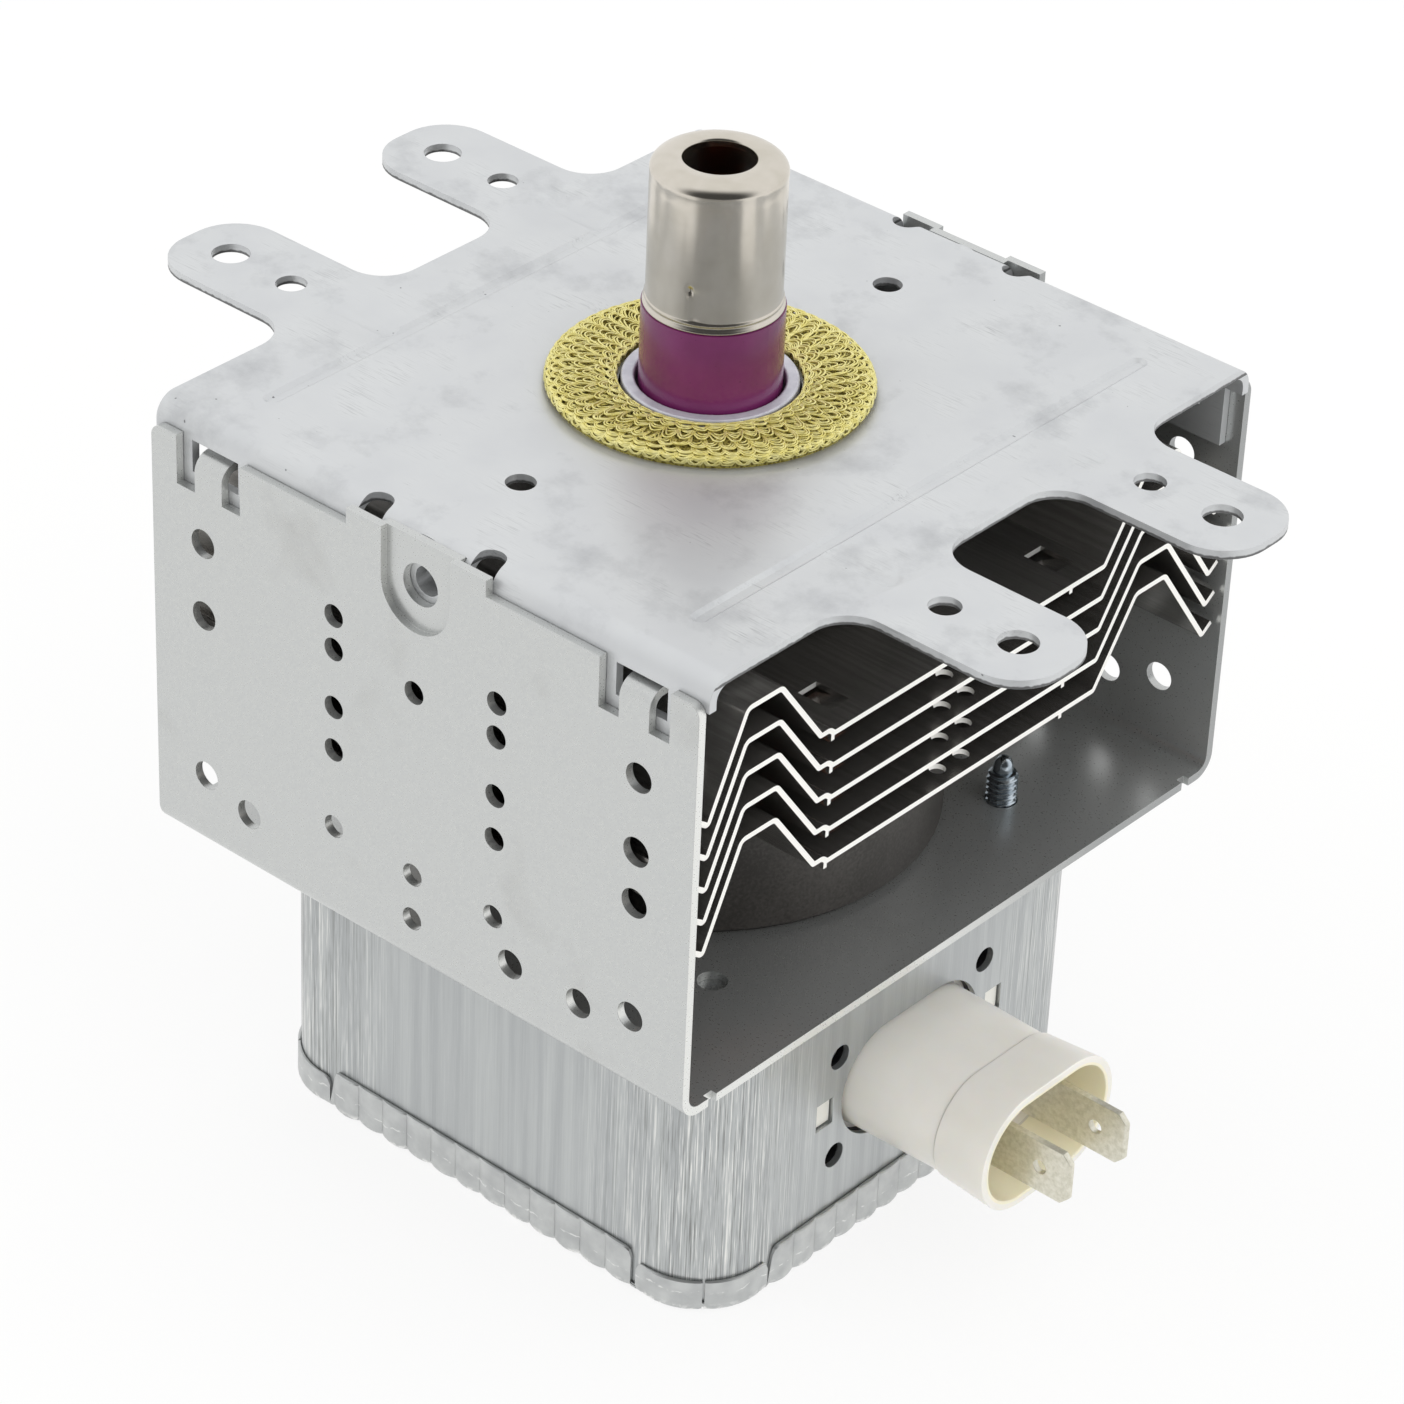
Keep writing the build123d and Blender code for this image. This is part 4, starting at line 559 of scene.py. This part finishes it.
def moulded_ivory_plastic():
    """Glass-filled polyester of the connector, injection moulded: ivory, half glossy, a faint orange peel."""
    material, tree, shader, place = start_material("moulded_ivory_plastic", 0.28, 0.0)
    shader.inputs["Subsurface Weight"].default_value = 0.25
    shader.inputs["Subsurface Radius"].default_value = (1.2, 0.9, 0.5)
    shader.inputs["Subsurface Scale"].default_value = 1.0 * MM
    flow = add(tree, "ShaderNodeTexNoise", {"Vector": place, "Scale": 1 / (7 * MM),
                                            "Detail": 3.0}).outputs["Fac"]
    base = add(tree, "ShaderNodeValToRGB", {"Fac": flow},
               stops=((0.35, "#F0EDE5"), (0.65, "#F4F1EA"))).outputs["Color"]
    # Painted light: inside the shroud the plastic is lighter and yellower than its own colour
    centred = add(tree, "ShaderNodeVectorMath", {0: place, 1: (0, PLUG_Y, PLUG_Z)},
                  operation="SUBTRACT").outputs[0]
    parts = add(tree, "ShaderNodeSeparateXYZ", {"Vector": centred}).outputs
    wide = add(tree, "ShaderNodeMath", {0: parts["Y"]}, operation="ABSOLUTE").outputs[0]
    wide = add(tree, "ShaderNodeMath", {0: wide, 1: SHROUD_STRAIGHT}, operation="SUBTRACT").outputs[0]
    wide = add(tree, "ShaderNodeMath", {0: wide, 1: 0.0}, operation="MAXIMUM").outputs[0]
    bow = add(tree, "ShaderNodeCombineXYZ", {"X": wide, "Y": parts["Z"]}).outputs[0]
    off = add(tree, "ShaderNodeVectorMath", {0: bow}, operation="LENGTH").outputs["Value"]
    inside = add(tree, "ShaderNodeMath", {0: off, 1: SHROUD_INNER}, operation="LESS_THAN").outputs[0]
    mouth = add(tree, "ShaderNodeMath", {0: parts["X"], 1: SHROUD_FOOT}, operation="GREATER_THAN").outputs[0]
    inside = add(tree, "ShaderNodeMath", {0: inside, 1: mouth}, operation="MULTIPLY").outputs[0]
    # The two half moulds meet in a thin grey line round the shroud's foot
    seam = add(tree, "ShaderNodeMath", {0: parts["X"], 1: 43.6 * MM, 2: 0.14 * MM},
               operation="COMPARE").outputs[0]
    seam = add(tree, "ShaderNodeMath", {0: seam, 1: 0.35}, operation="MULTIPLY").outputs[0]
    peel = add(tree, "ShaderNodeTexNoise", {"Vector": place, "Scale": 1 / (0.6 * MM),
                                            "Detail": 2.0}).outputs["Fac"]
    # The inside's colour is painted light; the seam's grey is real
    layers = [(inside, "#F9F2D8"), (seam, "#A7A296")]
    return finish_material(material, shader, base, layers, relief=(peel, 0.06, 0.03))


def purple_alumina():
    """Chromium-tinted alumina of the antenna insulator, ground and fired: purple, eggshell, a few specks."""
    material, tree, shader, place = start_material("purple_alumina", 0.27, 0.0)
    shader.inputs["Coat Weight"].default_value = 0.35
    shader.inputs["Coat Roughness"].default_value = 0.16
    cloud = add(tree, "ShaderNodeTexNoise", {"Vector": place, "Scale": 1 / (5 * MM),
                                             "Detail": 3.0}).outputs["Fac"]
    base = add(tree, "ShaderNodeValToRGB", {"Fac": cloud},
               stops=((0.35, "#6E2659"), (0.65, "#7A2C65"))).outputs["Color"]
    specks = spots(tree, place, 0.5, 2.0, 0.72, 0.78, most=0.5)
    return finish_material(material, shader, base, [(specks, "#3A1A36")], relief=(cloud, 0.08, 0.05))


def sintered_ferrite():
    """Pressed and sintered strontium ferrite of the ring magnets: near-black brown, matt, finely grained."""
    material, tree, shader, place = start_material("sintered_ferrite", 0.46, 0.0)
    grain, cloud = [add(tree, "ShaderNodeTexNoise", {"Vector": place, "Scale": 1 / (size * MM),
                                                     "Detail": detail}).outputs["Fac"]
                    for size, detail in ((0.35, 3.0), (11, 4.0))]
    mixed = add(tree, "ShaderNodeMath", {0: grain, 1: cloud}, operation="ADD").outputs[0]
    mixed = add(tree, "ShaderNodeMath", {0: mixed, 1: 0.5}, operation="MULTIPLY").outputs[0]
    base = add(tree, "ShaderNodeValToRGB", {"Fac": mixed},
               stops=((0.4, "#363330"), (0.6, "#4A4744"))).outputs["Color"]
    return finish_material(material, shader, base, relief=(grain, 0.2, 0.06))


def softly_varied(name, light, dark, roughness, size, metallic=0.0):
    """A surface that varies softly between two colours, in clouds of a size in millimetres."""
    material, tree, shader, place = start_material(name, roughness, metallic)
    cloud = add(tree, "ShaderNodeTexNoise", {"Vector": place, "Scale": 1 / (size * MM),
                                             "Detail": 4.0}).outputs["Fac"]
    base = add(tree, "ShaderNodeValToRGB", {"Fac": cloud},
               stops=((0.35, dark), (0.65, light))).outputs["Color"]
    if not metallic:
        return finish_material(material, shader, base, relief=(cloud, 0.15, 0.05))
    return finish_material(material, shader, base, dull=(cloud, 0.3, 0.7, roughness + 0.06, roughness - 0.04),
                           relief=(cloud, 0.1, 0.05))


finishes = {
    "yoke_steel": zinc_plated_strip(),
    "plate_steel": zinc_plated_plate(),
    "can_steel": drawn_can_steel(),
    "lid_steel": crimped_tinplate(),
    "fin_aluminium": rolled_aluminium(),
    "magnet_ferrite": sintered_ferrite(),
    # Copper brazed in hydrogen: clean and pink, half glossy
    "anode_copper": softly_varied("oxygen_free_copper", "#C98360", "#A8623F", 0.3, 6, 1.0),
    # Soft iron, pressed and annealed: even grey
    "pole_steel": softly_varied("pressed_soft_iron", "#A6A6A2", "#8C8C88", 0.35, 3, 1.0),
    # Nickel plating on a drawn cup: pale, bluish, satin
    "seal_metal": softly_varied("nickel_plated_seal", "#D4D4DB", "#C4C4CD", 0.45, 1.5, 0.5),
    "metallised_ceramic": purple_alumina(),
    # Fired white alumina: matt, a little warm
    "stem_alumina": softly_varied("white_alumina", "#E9E6DF", "#DAD6CD", 0.4, 3),
    # Copper tube, cold-pinched: brown and glossy
    "exhaust_copper": softly_varied("pinched_copper", "#B4704E", "#8A5034", 0.3, 1, 1.0),
    "cap_nickel": satin_nickel(),
    # Bright drawn brass wire, knitted: pale yellow glints
    "gasket_brass": softly_varied("knitted_brass_wire", "#F6EEA8", "#E6DB84", 0.32, 0.8, 0.6),
    # Thoriated tungsten and molybdenum, carburised: dull dark grey
    "cathode_metal": softly_varied("carburised_wire", "#7A7876", "#565452", 0.4, 1, 1.0),
    # Clear chromate over zinc: bright with a blue cast
    "screw_zinc": softly_varied("blue_zinc", "#C3CDD5", "#A2AEB8", 0.17, 1, 1.0),
    "connector_plastic": moulded_ivory_plastic(),
    # Epoxy-dipped ceramic: smooth blue grey
    "capacitor_ceramic": softly_varied("epoxy_dipped_ceramic", "#55667A", "#42505F", 0.35, 2),
    "ground_tin": ground_plate_painted_dark_and_lit(),
    "blade_tin": tinned_blade_brass(),
    # Copper wire with baked enamel: deep orange brown, glossy
    "coil_enamel": softly_varied("enamelled_wire", "#9A5430", "#74391F", 0.25, 2, 1.0),
    # Extruded and sintered ferrite: matt, charcoal
    "rod_ferrite": softly_varied("extruded_ferrite_rod", "#3A3A3C", "#2A2A2C", 0.5, 1),
}


# Pieces that are made here in place of plain solids

def give_piece(name, mesh, slot, *nodes):
    """Puts a mesh on the part as a piece with its finish, in place of the nodes named."""
    mesh.materials.append(finishes[slot])
    piece = bpy.data.objects.new(name, mesh)
    bpy.context.scene.collection.objects.link(piece)
    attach(piece, "root")
    if nodes:
        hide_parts(*nodes)
    return piece


def smooth_form(name, points, faces, crease):
    """A smoothly shaded mesh, with an edge where two faces meet at more than the crease in degrees."""
    mesh = bpy.data.meshes.new(name)
    mesh.from_pydata(points, [], faces)
    mesh.polygons.foreach_set("use_smooth", [True] * len(mesh.polygons))
    mesh.set_sharp_from_angle(angle=math.radians(crease))
    mesh.update()
    return mesh


def skin_faces(rings, count, looped=False):
    """Four-sided faces between rings of count points that follow each other."""
    faces = []
    for row in range(rings if looped else rings - 1):
        here, there = row * count, (row + 1) % rings * count
        for step in range(count):
            after = (step + 1) % count
            faces.append((here + step, here + after, there + after, there + step))
    return faces


def bell(off, width):
    """1 at the middle, falling softly to nothing at about twice the width."""
    return math.exp(-((off / width) ** 2))


def round_step(x, width):
    """0 well below x = 0 and 1 well above it."""
    return 1 / (1 + math.exp(-x / width))


def break_edges(node, width):
    """A sheet or moulded piece again, with the small rounding that its tool and handling leave on edges."""
    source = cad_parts[node].data
    form = bmesh.new()
    for vertex in source.vertices:
        form.verts.new(vertex.co)
    form.verts.ensure_lookup_table()
    for face in source.polygons:
        corners = [form.verts[i] for i in face.vertices]
        if form.faces.get(corners) is None:
            form.faces.new(corners)
    bmesh.ops.remove_doubles(form, verts=form.verts, dist=WELD)
    bmesh.ops.dissolve_degenerate(form, dist=WELD, edges=form.edges)
    bmesh.ops.dissolve_limit(form, angle_limit=math.radians(0.4), verts=form.verts, edges=form.edges)
    mesh = bpy.data.meshes.new(node + "_worn")
    form.to_mesh(mesh)
    form.free()
    mesh.polygons.foreach_set("use_smooth", [True] * len(mesh.polygons))
    mesh.set_sharp_from_angle(angle=math.radians(28))
    slot = source.materials[0].name.split(".")[0]
    bevel = give_piece(node + "_worn", mesh, slot, node).modifiers.new("broken_edges", "BEVEL")
    bevel.limit_method = "ANGLE"
    bevel.angle_limit = math.radians(40)
    bevel.width = width
    bevel.segments = 2
    bevel.use_clamp_overlap = True
    bevel.harden_normals = True


def knit_gasket():
    """The knitted brass ring: rows of doubled wire loops over a pressed core of the same wire."""
    middle = (GASKET_INNER + GASKET_OUTER) / 2
    half = (GASKET_OUTER - GASKET_INNER) / 2 - GASKET_WIRE
    noise.seed_set(GASKET_SEED)

    def over(s):
        """A place on the ring's rounded section, and the way out of it, s in metres from its top."""
        turn = s / (half * GASKET_ARC)
        turn = max(-1.0, min(1.0, turn)) * math.pi / 2
        r = middle + half * math.copysign(abs(math.sin(turn)) ** GASKET_FULL_SIDE, turn)
        z = GASKET_EDGE + (GASKET_TOP - GASKET_EDGE) * max(0.0, math.cos(turn)) ** GASKET_FLAT_TOP
        return r, z, math.sin(turn) ** 3

    def wire_path(row, strand, rows, steps, depth, seed):
        """The middle of one strand's wire, round the whole ring."""
        s_row = (row - (rows - 1) / 2) * GASKET_ROW
        stitches = round(2 * math.pi * over(s_row)[0] / GASKET_STITCH)
        twin = (strand - 0.5) * GASKET_TWIN
        path = []
        for step in range(stitches * steps):
            t = 2 * math.pi * step / steps
            # The loops wander slowly together, and each wire wobbles on its own
            wander = noise.noise_vector(Vector((step / steps * 0.55, row * 3.7, seed)))
            wobble = noise.noise_vector(Vector((step / steps * 1.9, row * 5.3 + strand * 0.35, seed + 9)))
            # A row of loops, crossed at the inner side and wide at the outer one
            swing = GASKET_SWING * (1 + 0.22 * wander.x) + twin / GASKET_STITCH * 2 * math.pi
            along = t + (row % 2) * math.pi - swing * math.sin(t) + 0.9 * wander.y + 0.4 * wobble.x
            reach = (GASKET_REACH + 0.25 * wander.z) * GASKET_ROW + twin
            r, z, lean = over(s_row + 0.35 * MM * wobble.y - reach * math.cos(t))
            lift = GASKET_HEAVE * (wobble.z - math.cos(t)) - depth
            r += 0.3 * lift * lean
            theta = along / stitches
            path.append(Vector((r * math.cos(theta), r * math.sin(theta), z + lift * (1 - abs(lean)))))
        return path

    def loops(name, rows, sides, steps, depth, seed):
        """Rows of doubled wire, each wire a tube of so many sides."""
        points, faces = [], []
        for row in range(rows):
            for strand in range(2):
                path = wire_path(row, strand, rows, steps, depth, seed)
                first, total = len(points), len(path)
                for i, place in enumerate(path):
                    ahead = (path[(i + 1) % total] - path[i - 1]).normalized()
                    side = ahead.cross(Vector((0, 0, 1)))
                    side = side.normalized() if side.length > 0.05 else Vector((0, 1, 0))
                    rise = side.cross(ahead)
                    for k in range(sides):
                        a = 2 * math.pi * k / sides
                        points.append(place + (side * math.cos(a) + rise * math.sin(a)) * (GASKET_WIRE / 2))
                faces += [tuple(first + i for i in face) for face in skin_faces(total, sides, looped=True)]
        return smooth_form(name, points, faces, crease=180)

    give_piece("gasket_loops", loops("gasket_loops", 8, 5, 13, 0.0, 3.0), "gasket_brass", "mesh_gasket")
    give_piece("gasket_under_loops", loops("gasket_under_loops", 7, 4, 11, 0.2 * MM, 41.0), "gasket_brass")

    # The pressed core, lumpy where wires lie across each other
    around, across = 240, 28
    points = []
    for i in range(around):
        theta = 2 * math.pi * i / around
        for k in range(across):
            a = 2 * math.pi * k / across
            r = middle + (half - GASKET_CORE_IN) * math.copysign(abs(math.cos(a)) ** 0.5, math.cos(a))
            x, y, z = r * math.cos(theta), r * math.sin(theta), GASKET_FOOT
            if math.sin(a) > 0:
                z += (GASKET_TOP - GASKET_FOOT - GASKET_CORE_DOWN) * math.sin(a) ** 0.45
                z = max(z + GASKET_LUMP * noise.noise(Vector((x, y, 0)) / GASKET_LUMP_SIZE), GASKET_FOOT)
            points.append((x, y, z))
    core = smooth_form("gasket_core", points, skin_faces(around, across, looped=True), crease=35)
    give_piece("gasket_core", core, "gasket_brass").data.materials[0] = pressed_wire_core()


def antenna_cap():
    """The drawn cap: a rolled double lip, a soft shoulder and a turned-in hole, with one small dent."""
    outer = [(sum((proud * bell(up - place, wide) for proud, place, wide in CAP_ROLLS), CAP_R), CAP_FOOT + up)
             for up in [i * 0.09 * MM for i in range(16)]]
    wall_top = CAP_TOP - CAP_SHOULDER
    z = outer[-1][1] + 0.4 * MM
    while z < wall_top:
        outer.append((CAP_R, z))
        z += 0.3 * MM
    # Above the wall the punch left a shallow groove, then a slightly proud shoulder
    outer = [(r - CAP_GROOVE * bell(z - wall_top + CAP_GROOVE_DOWN, CAP_GROOVE_WIDTH), z) for r, z in outer]
    quarter = math.pi / 2
    for i in range(13):
        a = quarter * i / 12
        r = CAP_R + CAP_SWELL * math.cos(a) - CAP_SHOULDER_RUN * (1 - math.cos(a))
        outer.append((r, wall_top + CAP_SHOULDER * math.sin(a)))
    for i in range(1, 7):
        a = quarter * i / 6
        outer.append((CAP_HOLE_R + CAP_RIM_R * (1 - math.sin(a)), CAP_TOP - CAP_RIM_R * (1 - math.cos(a))))
    outer.append((CAP_HOLE_R, CAP_TOP - CAP_HOLE_DEPTH))
    inner = [(CAP_HOLE_R + 0.05 * MM, CAP_TOP - CAP_HOLE_DEPTH), (CAP_HOLE_R + 0.5 * MM, CAP_TOP - CAP_WALL)]
    run, rise = CAP_SHOULDER_RUN - CAP_WALL, CAP_SHOULDER - CAP_WALL
    for i in range(9):
        a = quarter * (1 - i / 8)
        inner.append((CAP_R - CAP_SHOULDER_RUN + run * math.cos(a), wall_top + rise * math.sin(a)))
    inner += [(CAP_R - CAP_WALL, CAP_FOOT + 2 * MM), (CAP_R - CAP_WALL, CAP_FOOT)]
    around = 360
    points = []
    for i in range(around):
        theta = 2 * math.pi * i / around
        side = CAP_R * ((theta - CAP_DENT_TURN + math.pi) % (2 * math.pi) - math.pi)
        # The crease runs from the dent down to the lip, with a narrow slope and a slow recovery to its right
        right = max(0.0, side) / CAP_CREASE_WIDTH
        crease = CAP_CREASE * right * math.exp(1 - right)
        for k, (r, z) in enumerate(outer + inner):
            if k < len(outer) and z < wall_top:
                r -= CAP_DENT * bell(side, CAP_DENT_WIDTH) * bell(z - CAP_DENT_Z, CAP_DENT_HEIGHT)
                under_dent = round_step(CAP_DENT_Z - z, 0.15 * MM)
                over_lip = round_step(z - CAP_FOOT - CAP_LIP, 0.1 * MM)
                r -= crease * under_dent * over_lip
            points.append((r * math.cos(theta), r * math.sin(theta), z))
    faces = [tuple(reversed(face)) for face in skin_faces(around, len(outer + inner), looped=True)]
    mesh = smooth_form("antenna_cap_drawn", points, faces, crease=50)
    give_piece("antenna_cap_drawn", mesh, "cap_nickel", "antenna_cap")


def threaded_screws():
    """Two thread-forming screws with a rounded dog point; their pan heads are inside the can."""
    around = 36
    turns = [2 * math.pi * i / around for i in range(around)]

    def shank(z, turn):
        """The radius at a height, on the thread or on the point."""
        left = SCREW_TIP - z
        if left <= SCREW_POINT:
            dome = math.sqrt(max(0.0, 1 - (1 - left / SCREW_POINT) ** 2.6))
            return max(SCREW_POINT_R * dome, SCREW_END_R)
        tooth = (z / SCREW_PITCH - turn / (2 * math.pi)) % 1.0
        crest = max(0.0, 1 - abs(tooth - 0.5) / SCREW_CREST) ** 0.7
        # The thread fades out towards the point
        grown = min(1.0, (left - SCREW_POINT) / SCREW_RUN_OUT + 0.35)
        return SCREW_CORE_R + (SCREW_R - SCREW_CORE_R) * crest * grown

    rings = [[(r, turn, SCREW_BASE - share * SCREW_HEAD_T) for turn in turns] for r, share in SCREW_HEAD]
    for i in range(int((SCREW_TIP - SCREW_BASE) / SCREW_STEP) + 1):
        z = SCREW_BASE + i * SCREW_STEP
        rings.append([(shank(z, turn), turn, z) for turn in turns])
    skin = skin_faces(len(rings), around)
    skin += [tuple(reversed(range(around))), tuple((len(rings) - 1) * around + i for i in range(around))]
    points, faces = [], []
    for x, y in ((SCREW_X, SCREW_Y), (-SCREW_X, -SCREW_Y)):
        first = len(points)
        points += [(x + r * math.cos(turn), y + r * math.sin(turn), z)
                   for ring in rings for r, turn, z in ring]
        faces += [tuple(first + i for i in face) for face in skin]
    mesh = smooth_form("thread_forming_screws", points, faces, crease=60)
    give_piece("thread_forming_screws", mesh, "screw_zinc", "box_screws")


def lid_rim():
    """The lid's rim in columns: the place on the can's outline, the way out, the flute and the height."""
    half_x, half_y = BOX_LENGTH / 2, BOX_WIDTH / 2
    run_x, run_y = half_x - LID_TAB, half_y - LID_TAB
    sides = [((-run_x, -half_y), (1, 0), 2 * run_x), ((half_x, -run_y), (0, 1), 2 * run_y),
             ((run_x, half_y), (-1, 0), 2 * run_x), ((-half_x, run_y), (0, -1), 2 * run_y)]
    gap = LID_SPLIT / 2
    tail = LID_TAB - BOX_CORNER_R
    slit = math.radians(LID_CORNER_SLIT / BOX_CORNER_R * 90 / math.pi)
    columns = []

    def column(place, way, flute, height):
        columns.append((place, way, flute, height))

    def cut_round(height, from_split):
        """The rim's height beside a split, where its corner is cut round."""
        miss = min(LID_SPLIT_R, max(0.0, LID_SPLIT_R - from_split))
        return height - LID_SPLIT_R + math.sqrt(LID_SPLIT_R ** 2 - miss ** 2)

    for start, along, run in sides:
        start, along = Vector(start), Vector(along)
        out = Vector((along.y, -along.x))
        column(start - along * gap, out, 0, LID_SLIT_FOOT)
        steps = LID_FLUTES * LID_FLUTE_STEPS
        for i in range(steps + 1):
            at = gap + (run - LID_SPLIT) * i / steps
            flute = abs(math.sin(math.pi * LID_FLUTES * i / steps)) ** 0.55
            # The flutes aren't all pressed alike
            own = math.copysign(3.1, start.x) + math.copysign(5.9, start.y)
            flute *= 0.85 + 0.3 * noise.noise(Vector((i // LID_FLUTE_STEPS * 1.7, own, 0.5)))
            column(start + along * at, out, flute, cut_round(LID_RIM, min(at, run - at) - gap))
        column(start + along * (run - gap), out, 0, LID_SLIT_FOOT)
        # The corner: straight, round, straight, with a slit in its middle
        end = start + along * run
        column(end + along * gap, out, 0, LID_SLIT_FOOT)
        for i in range(4):
            at = gap + (tail - gap) * i / 4
            bow = LID_TAB_BOW * math.sin(math.pi * i / 4)
            column(end + along * at, out, bow, cut_round(LID_TAB_HEIGHT, at - gap))
        centre = end + along * tail - out * BOX_CORNER_R
        steps = 28
        for i in range(steps + 1):
            turn = math.pi / 2 * i / steps
            bends = [(turn, LID_TAB_HEIGHT)]
            if i == steps // 2:
                bends = [(turn - slit, LID_TAB_HEIGHT), (turn - slit, LID_NOTCH_FOOT),
                         (turn + slit, LID_NOTCH_FOOT), (turn + slit, LID_TAB_HEIGHT)]
            bulge = LID_CORNER_BULGE * abs(math.sin(2 * math.pi * (i + 1) / (steps + 2))) ** 0.6
            for bend, height in bends:
                way = out * math.cos(bend) + along * math.sin(bend)
                column(centre + way * BOX_CORNER_R, way, bulge, height)
        for i in range(1, 5):
            at = (tail - gap) * i / 4
            place = centre + along * BOX_CORNER_R - out * at
            bow = LID_TAB_BOW * math.sin(math.pi * i / 4)
            column(place, along, bow, cut_round(LID_TAB_HEIGHT, tail - gap - at))
        column(place, along, 0, LID_SLIT_FOOT)
    return columns


def crimped_lid():
    """The lid: its rim is folded up in shallow flutes between splits, with a lower tab round each corner."""
    tray = -2.2 * LID_FOLD_R
    lip = SEAT + LID_T / 2
    columns = lid_rim()
    points = []
    for place, way, flute, height in columns:
        press = flute * LID_FLUTE_DEPTH
        top = lip + press * LID_FLUTE_TOP
        # From the tray's inside up the rim, over its edge and down its outside to the tray's underside
        skirt = [(tray, LID_T), (SEAT, LID_T), (SEAT, height * 0.6), (SEAT, height - 0.08 * MM),
                 (SEAT + 0.1 * MM, height), (top - 0.12 * MM, height), (top, height - 0.14 * MM)]
        fold_top = min(LID_FOLD_R, 0.9 * height)
        for k in range(1, 6):
            z = height - (height - fold_top) * k / 5
            deeper = (1 - LID_FLUTE_TOP) * (1 - z / height) ** 0.8
            skirt.append((lip + press * (LID_FLUTE_TOP + deeper), z))
        foot = LID_NOTCH_FOOT * 0.55 if height == LID_NOTCH_FOOT else 0.0
        for k in range(1, 6):
            a = math.pi / 2 * k / 5
            z = max(fold_top * (1 - math.sin(a)), foot)
            pinch = LID_PINCH * (1 - flute) * (1 - z / fold_top) if height > LID_TAB_HEIGHT else 0.0
            skirt.append((lip + press - LID_FOLD_R * (1 - math.cos(a)) - pinch, z))
        skirt.append((tray, 0.0))
        points += [(BOX_SHIFT_X + place.x + way.x * out, BOX_SHIFT_Y + place.y + way.y * out, LID_BOTTOM + z)
                   for out, z in skirt]
    size, count = len(skirt), len(columns)
    faces = []
    for i in range(count):
        here, there = i * size, (i + 1) % count * size
        faces += [(here + k + 1, there + k + 1, there + k, here + k) for k in range(size - 1)]
    # The flat of the tray, above and below
    faces.append(tuple(i * size for i in range(count)))
    faces.append(tuple(i * size + size - 1 for i in reversed(range(count))))
    mesh = smooth_form("lid_crimped", points, faces, crease=32)
    give_piece("lid_crimped", mesh, "lid_steel", "filter_box_lid")


for node, width in BROKEN_EDGES.items():
    break_edges(node, width)
knit_gasket()
antenna_cap()
threaded_screws()
crimped_lid()

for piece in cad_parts.values():
    slot = piece.data.materials[0].name.split(".")[0]
    if slot in finishes:
        piece.data.materials[0] = finishes[slot]

set_up_camera()
set_up_world()
set_up_floor()
for name, (place, side, power) in SOFTBOXES.items():
    set_up_softbox(name, place, side, power)
bpy.context.scene.view_settings.view_transform = "Standard"
